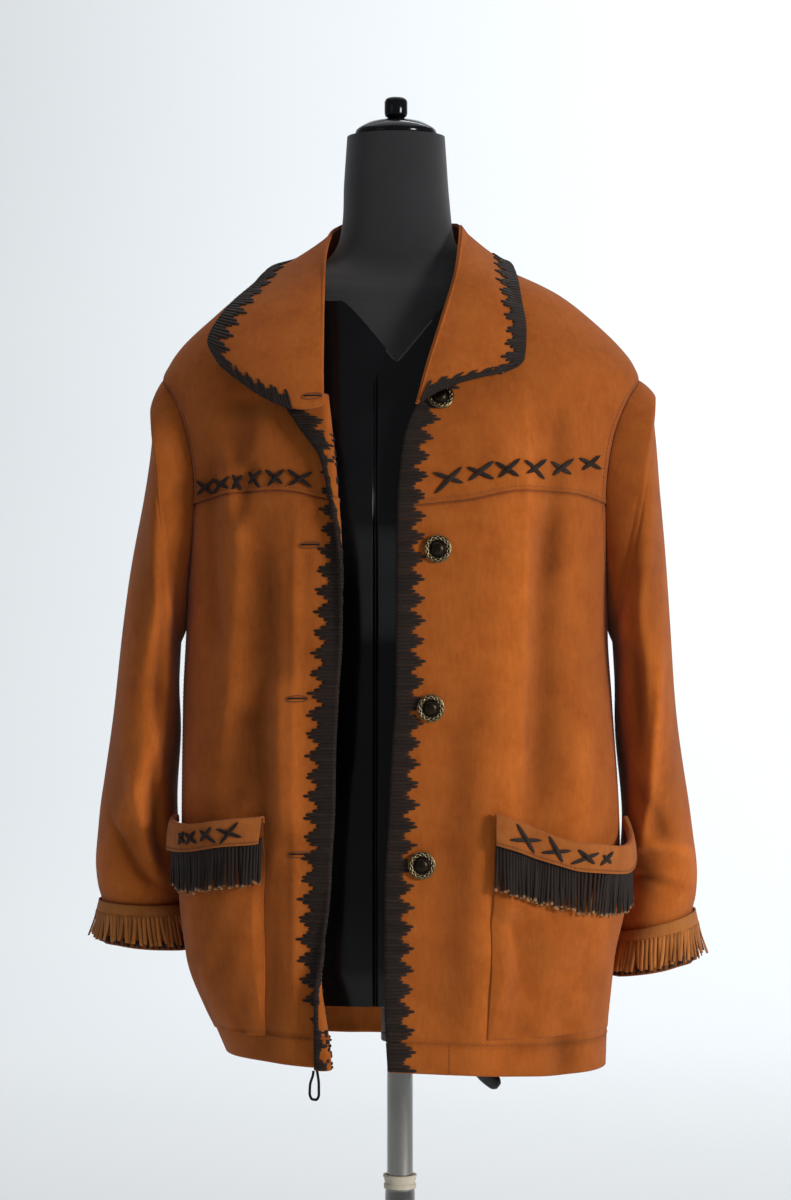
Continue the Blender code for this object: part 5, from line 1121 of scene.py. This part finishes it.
def front_from(x, z):
    """The place on the coat's front seen from the front at x, z, and its normal: the turn is found in a few
    steps towards x."""
    turn = turn_at_x(x, z)
    for _ in range(3):
        turn = turn + (x - coat_at(turn, z)[..., 0]) / 0.2
    return coat_at(turn, z), coat_out(turn, z)


way = np.linspace(0, 1, 13)
rise = OVER_THE_OTHER * bell(way, 0.5, 0.16)
for side, tab, word in ((1, LEFT_CROSSES, "left_yoke"), (-1, RIGHT_CROSSES, "right_yoke")):
    lines, outs = [], []
    for x, z, *ends in zip(*tab.values()):
        for k, (ax, az, bx, bz) in enumerate((ends[:4], ends[4:])):
            px, pz = x + (ax + (bx - ax) * way) * CROSS_SIZE, z + (az + (bz - az) * way) * CROSS_SIZE
            point, out = front_from(px, pz)
            lines.append(point + out * (0.0016 + k * rise)[:, None])
            outs.append(out)
    names = [f"{word}_cross_{k}" for k in range(1, 7)]
    straps(f"{word}_crosses", np.array(lines), np.array(outs), 0.0021, 0.0015, names, 31 + side)
for side, word in ((1, "left_pocket"), (-1, "right_pocket")):
    lines = []
    fine = band_at(side, np.linspace(0, 1, 260)[None, :], np.linspace(0, 1, 60)[:, None])[0]
    towards = unit(np.array([side * 0.45, -1.0, 0.05]))
    for which, *ends in zip(*POCKET_STRAPS.values()):
        if which == side:
            # Each cross is centred on the band's middle row
            x, z = np.mean(ends[0::2]) / 1000, np.mean(ends[1::2]) / 1000
            middle = fine[30][np.argmin(np.abs(fine[30, :, 0] - x) + (side * fine[30, :, 0] < 0))]
            ends[1::2] = [e + 1000 * (middle[2] - z) for e in ends[1::2]]
            for k, (ax, az, bx, bz) in enumerate((ends[:4], ends[4:])):
                point = nearest(fine, (ax + (bx - ax) * way) / 1000, (az + (bz - az) * way) / 1000)
                lines.append(point + towards * (0.0013 + k * rise)[:, None])
    names = [f"{word}_cross_{k}" for k in range(1, 5)]
    lines = np.array(lines)
    straps(f"{word}_crosses", lines, np.broadcast_to(towards, lines.shape), 0.0019, 0.0014, names, 35 + side)


# Cuff lacing: crossed thongs round each sleeve's own end, of which the lower ends show under the fringe.
CUFF_CROSSES = 24
for side, word in SIDES:
    start = (np.arange(CUFF_CROSSES) + 0.3) * 2 * math.pi / CUFF_CROSSES
    lines, outs = [], []
    for lean, over in ((0.17, 0.0), (-0.17, 1.0)):
        point = sleeve_at(side, 8.80 + 0.165 * way[None, :], start[:, None] + lean * (way - 0.5)[None, :])[0]
        out = away_from(point, point.mean((0, 1)))
        lines.append(point + out * (0.0010 + over * rise)[None, :, None])
        outs.append(out)
    straps(f"lacing_cuff_{word}", np.concatenate(lines), np.concatenate(outs), 0.0017, 0.0013, (), 61 + side)


# Buttons: four domed metal buttons with a filigree rim on the wearer's left front, and four stitched
# buttonholes opposite them.
BUTTONS = table(
    "across height",
    (0.0385, 1.2955), (0.0355, 1.1487), (0.0288, 0.9969), (0.0202, 0.8469),
)
BUTTON_RADIUS = 0.01325
BUTTON_PROFILE = table(
    "row share rise",
    (0, 0.0, 0.0070), (1, 0.20, 0.0068), (2, 0.38, 0.0059), (3, 0.50, 0.0044), (4, 0.555, 0.0031),
    (5, 0.60, 0.0030), (6, 0.66, 0.0033), (7, 0.78, 0.0038), (8, 0.90, 0.0038), (9, 0.97, 0.0033),
    (10, 1.0, 0.0024), (11, 0.98, 0.0014), (12, 0.90, 0.0007), (13, 0.60, 0.0000), (14, 0.0, 0.0),
)
HOLES = table(
    "across height half tilt",
    (-0.0843, 1.2954, 0.0100, 0.10), (-0.0863, 1.1526, 0.0105, 0.05), (-0.0987, 1.0054, 0.0105, 0.03),
    (-0.0968, 0.8566, 0.0105, 0.04),
)


def aged_brass():
    """Brass that is dark in the low places and in specks, by the piece's shade, and bright on the wires."""
    made, tree, shader = finish_of("aged_brass", {"Metallic": 1.0})
    tarnish = noise(tree, place_in(tree), 700.0, 5.0)
    bright = ramp(tree, maths(tree, "MULTIPLY", tarnish, shade_in(tree)), 0.12, 0.75)
    wire(tree, shader, {"Base Color": mix(tree, bright, (0.026, 0.019, 0.014), (0.44, 0.34, 0.18)),
                        "Roughness": ramp(tree, tarnish, 0.0, 1.0, 0.22, 0.50)})
    return made


def button_grid(x, z):
    """Carried round the button's axis: a dark dome in a moat, and a rim with two waved wires that
    cross each other seven times round."""
    row = np.linspace(0, 14, 100)[:, None]
    turn = all_round(144)[None, :]
    share, high = follow(BUTTON_PROFILE, "share", row), follow(BUTTON_PROFILE, "rise", row)
    on_rim = fade(share, 0.60, 0.66) * (1 - fade(share, 0.93, 0.99)) * (row < 9.6)
    swing = 0.105 * np.sin(7 * turn)
    wires = np.maximum(bell(share, 0.78 + swing, 0.032), bell(share, 0.78 - swing, 0.032))
    high = high + 0.00055 * on_rim * (wires - 0.5)
    shade = np.where(share < 0.555, 0.22, 0.16 + 1.30 * on_rim * wires + 0.9 * bell(share, 0.965, 0.02))
    angles = np.linspace(0, 2 * math.pi, 9)
    sample, out = front_from(x + 0.0128 * np.cos(angles), z + 0.0128 * np.sin(angles))
    centre, _ = front_from(np.array(x), np.array(z))
    normal = unit(out.mean(0))
    lift = ((sample - centre) @ normal).max() + 0.0014
    u = unit(np.cross(np.array([0, 0, 1.0]), normal))
    flat = u * np.cos(turn)[..., None] + np.cross(normal, u) * np.sin(turn)[..., None]
    return centre + normal * (lift + high)[..., None] + flat * (share * BUTTON_RADIUS)[..., None], shade


brass = aged_brass()
for k, (x, z) in enumerate(zip(*BUTTONS.values())):
    grid, shade = button_grid(x, z)
    closed(f"coat_button_{k + 1}", grid, brass, f"button_{k + 1}", shade=shade)


def sewing_thread():
    made, tree, shader = finish_of("brown_thread", {"Roughness": 0.75})
    wire(tree, shader, {"Base Color": mix(tree, shade_in(tree), (0.0, 0.0, 0.0), (0.155, 0.048, 0.014))})
    return made


def stitches(name, line, out, seed, pitch=0.0042, length=0.0033, radius=0.00034):
    """Sewn stitches: small pointed capsules, one after another along a line on a surface with its normals."""
    line = line + out * 0.0003
    run = run_of(line)
    count = max(int(run[-1] / pitch), 1)
    t = np.linspace(-0.5, 0.5, 5)[None, :]
    at = ((np.arange(count) + 0.5) * run[-1] / count)[:, None] + t * length
    middle, up = (np.stack([np.interp(at, run, of[:, i]) for i in range(3)], -1) for of in (line, out))
    up = unit(up)
    across = np.cross(up, unit(np.gradient(middle, axis=1)))
    angle = all_round(6)[None, None, :, None]
    round_it = np.array([0.25, 0.85, 1.0, 0.85, 0.25])[None, :, None, None] * radius
    dip = -0.0002 + radius * (0.6 - 2.2 * t**2)
    grid = ((middle + up * dip[..., None])[:, :, None]
            + (across[:, :, None] * np.cos(angle) + up[:, :, None] * np.sin(angle)) * round_it)
    tone = (0.85 + 0.3 * hashed(count, 41 + seed))[:, None, None] * np.ones((1, 5, 6))
    return piece(name, grid, thread, around=True, shade=tone)


thread = sewing_thread()
lapel_place = np.linspace(-COLLAR_END, COLLAR_END, 400)[None, :200]
lapel = collar_at(lapel_place, np.linspace(0, 1, 140)[:, None])
turn = np.linspace(0, 2 * math.pi, 90)
for k, (x, z, half, tilt) in enumerate(zip(*HOLES.values())):
    px = x + half * np.cos(turn) * np.cos(tilt) - 0.0030 * np.sin(turn) * np.sin(tilt)
    pz = z + half * np.cos(turn) * np.sin(tilt) + 0.0030 * np.sin(turn) * np.cos(tilt)
    slit_x, slit_z = x + (px - x) * 0.86, z + (pz - z) * 0.16
    if k == 0:
        # The top one is in the collar's right end
        point, slit = nearest(lapel, px, pz), nearest(lapel, slit_x, slit_z)
        out = np.broadcast_to(np.array([0.0, -1.0, 0.0]), point.shape)
    else:
        (point, out), (slit, _) = front_from(px, pz), front_from(slit_x, slit_z)
    stitches(f"buttonhole_{k + 1}", point, out, k, 0.00115, 0.0017, 0.00052)
    # Half of the ring's points lie along the slit
    slit = (slit + out * 0.00035)[:45][None]
    # The dark strap along the slit is painted shade in the cut
    straps(f"buttonhole_slit_{k + 1}", slit, out[:45][None], 0.0009, 0.0004, (), 50 + k)


# Sewing: a row of stitches over each yoke seam, round each armhole, along the hem, on the pocket bands, up
# the front hem's corner and up each side seam.
SHORT_STITCH = {"pitch": 0.0036, "length": 0.0028, "radius": 0.00036}
round_armhole = ROUND[(ROUND > ARMPIT + 0.004) & (ROUND < ARMHOLE_TOP - 0.002)]
for side, word in SIDES:
    along = np.linspace(0.03 if side > 0 else 0.02, 0.985, 240)
    stitches(f"yoke_stitching_{word}", *front_at(side, along, SEAM_LEVEL + 0.0040), 1, radius=0.00038)
    stitches(f"armhole_stitching_{word}", *front_at(side, 0.972, round_armhole), 2, radius=0.00036)
    along = np.linspace(0.02 if side > 0 else 0.03, 0.995, 300)
    stitches(f"hem_stitching_{word}", *front_at(side, along, HEM + 0.0285), 3)
    stitches(f"band_stitching_{word}", *band_at(side, np.linspace(0.01, 0.99, 160), 0.10), 5, **SHORT_STITCH)
corner = np.linspace(HEM - 0.001, HEM + 0.026, 30)
stitches("hem_corner_stitching", *front_from(np.full(30, 0.0466), corner), 6, **SHORT_STITCH)
level = np.linspace(0.70, 1.43, 300)
level = level[level < 1.098]
for k, side in enumerate((1, -1)):
    turn = side_turn(side, level, False) - side * 0.012
    stitches(f"side_seam_stitching_{k + 1}", coat_at(turn, level), coat_out(turn, level), 7)


# Lace loop: the end of the right front's lacing, left hanging in a loop at the hem corner.
LACE_LOOP = table(
    "row across depth height",
    (0, -0.0826, -0.1506, 0.6513), (1, -0.0832, -0.1510, 0.6470), (2, -0.0858, -0.1518, 0.6385),
    (3, -0.0862, -0.1522, 0.6300), (4, -0.0838, -0.1522, 0.6245), (5, -0.0800, -0.1520, 0.6240),
    (6, -0.0775, -0.1516, 0.6290), (7, -0.0776, -0.1510, 0.6390), (8, -0.0792, -0.1506, 0.6513),
)
at = np.linspace(0, 8, 60)
line = np.stack([follow(LACE_LOOP, name, at) for name in ("across", "depth", "height")], -1)
curve = bpy.data.curves.new("lace_loop_cord", "CURVE")
curve.dimensions, curve.bevel_depth, curve.bevel_resolution, curve.use_fill_caps = "3D", 0.0013, 3, True
spline = curve.splines.new("POLY")
spline.points.add(len(line) - 1)
spline.points.foreach_set("co", np.concatenate([line, np.ones((len(line), 1))], 1).ravel())
spline.use_smooth = True
curve.materials.append(dark_thong)
loop = placed("lace_loop_cord", curve, "lace_loop", "form")


# Floor and backdrop: one pale sheet that curves up behind the stand. Light: a bright pale room, one strong
# soft light from the front right, a weak one on the left, a wide one in the ceiling, and one that lights
# the backdrop.
BEND_START, BEND_RADIUS, WALL_TOP, HALF_WIDTH = 5.5, 5, 9.0, 14


def pale_paper():
    made, tree, shader = finish_of("studio_backdrop", {"Roughness": 0.9, "Specular IOR Level": 0.1})
    cloud = noise(tree, place_in(tree), 0.6)
    wire(tree, shader, {"Base Color": mix(tree, cloud, (0.80, 0.82, 0.83), (0.86, 0.87, 0.88))})
    return made


bend = np.linspace(0, math.pi / 2, 24)
curved = np.stack([BEND_START + BEND_RADIUS * np.sin(bend), BEND_RADIUS - BEND_RADIUS * np.cos(bend)], -1)
profile = np.concatenate([[(-12.0, 0.0), (0.0, 0.0), (BEND_START, 0.0)], curved,
                          [(BEND_START + BEND_RADIUS, WALL_TOP)]])
wide = np.linspace(-HALF_WIDTH, HALF_WIDTH, 12)[None, :]
wide, back, up = np.broadcast_arrays(wide, profile[:, :1], profile[:, 1:])
sheet = np.stack([wide, back, up - 0.0002], -1).reshape(-1, 3)
floor_mesh = mesh_of("studio_floor", sheet, quads(len(profile), 12).reshape(-1, 4), pale_paper())
floor = bpy.data.objects.new("studio_floor", floor_mesh)
scene.collection.objects.link(floor)

world = bpy.data.worlds.new("room")
world.use_nodes = True
room = world.node_tree.nodes["Background"].inputs
room["Color"].default_value, room["Strength"].default_value = (0.93, 0.96, 1.0, 1), 0.20
scene.world = world


def soft_light(name, at, aim, size, power, colour):
    light = bpy.data.lights.new(name, "AREA")
    light.shape, light.size, light.size_y, light.energy, light.color = "RECTANGLE", *size, power, colour
    lamp = bpy.data.objects.new(name, light)
    lamp.location = at
    towards = np.array(aim) - np.array(at)
    level = math.hypot(towards[0], towards[1])
    lamp.rotation_euler = (math.atan2(level, -towards[2]), 0, math.atan2(-towards[0], towards[1]))
    scene.collection.objects.link(lamp)


soft_light("key", (2.6, -2.2, 1.6), (0.0, 0.0, 1.05), (0.8, 0.8), 74, (1.0, 0.98, 0.95))
soft_light("fill", (-2.3, -2.4, 1.6), (0.0, 0.0, 1.0), (1.4, 1.8), 2.5, (0.97, 0.98, 1.0))
soft_light("ceiling", (0.0, 1.2, 5.4), (0.0, 1.3, 0.0), (6.0, 6.0), 100, (0.97, 0.98, 1.0))
soft_light("backdrop_light", (2.5, 5.0, 6.5), (1.6, 9.5, 1.2), (5.0, 2.0), 430, (0.95, 0.98, 1.0))
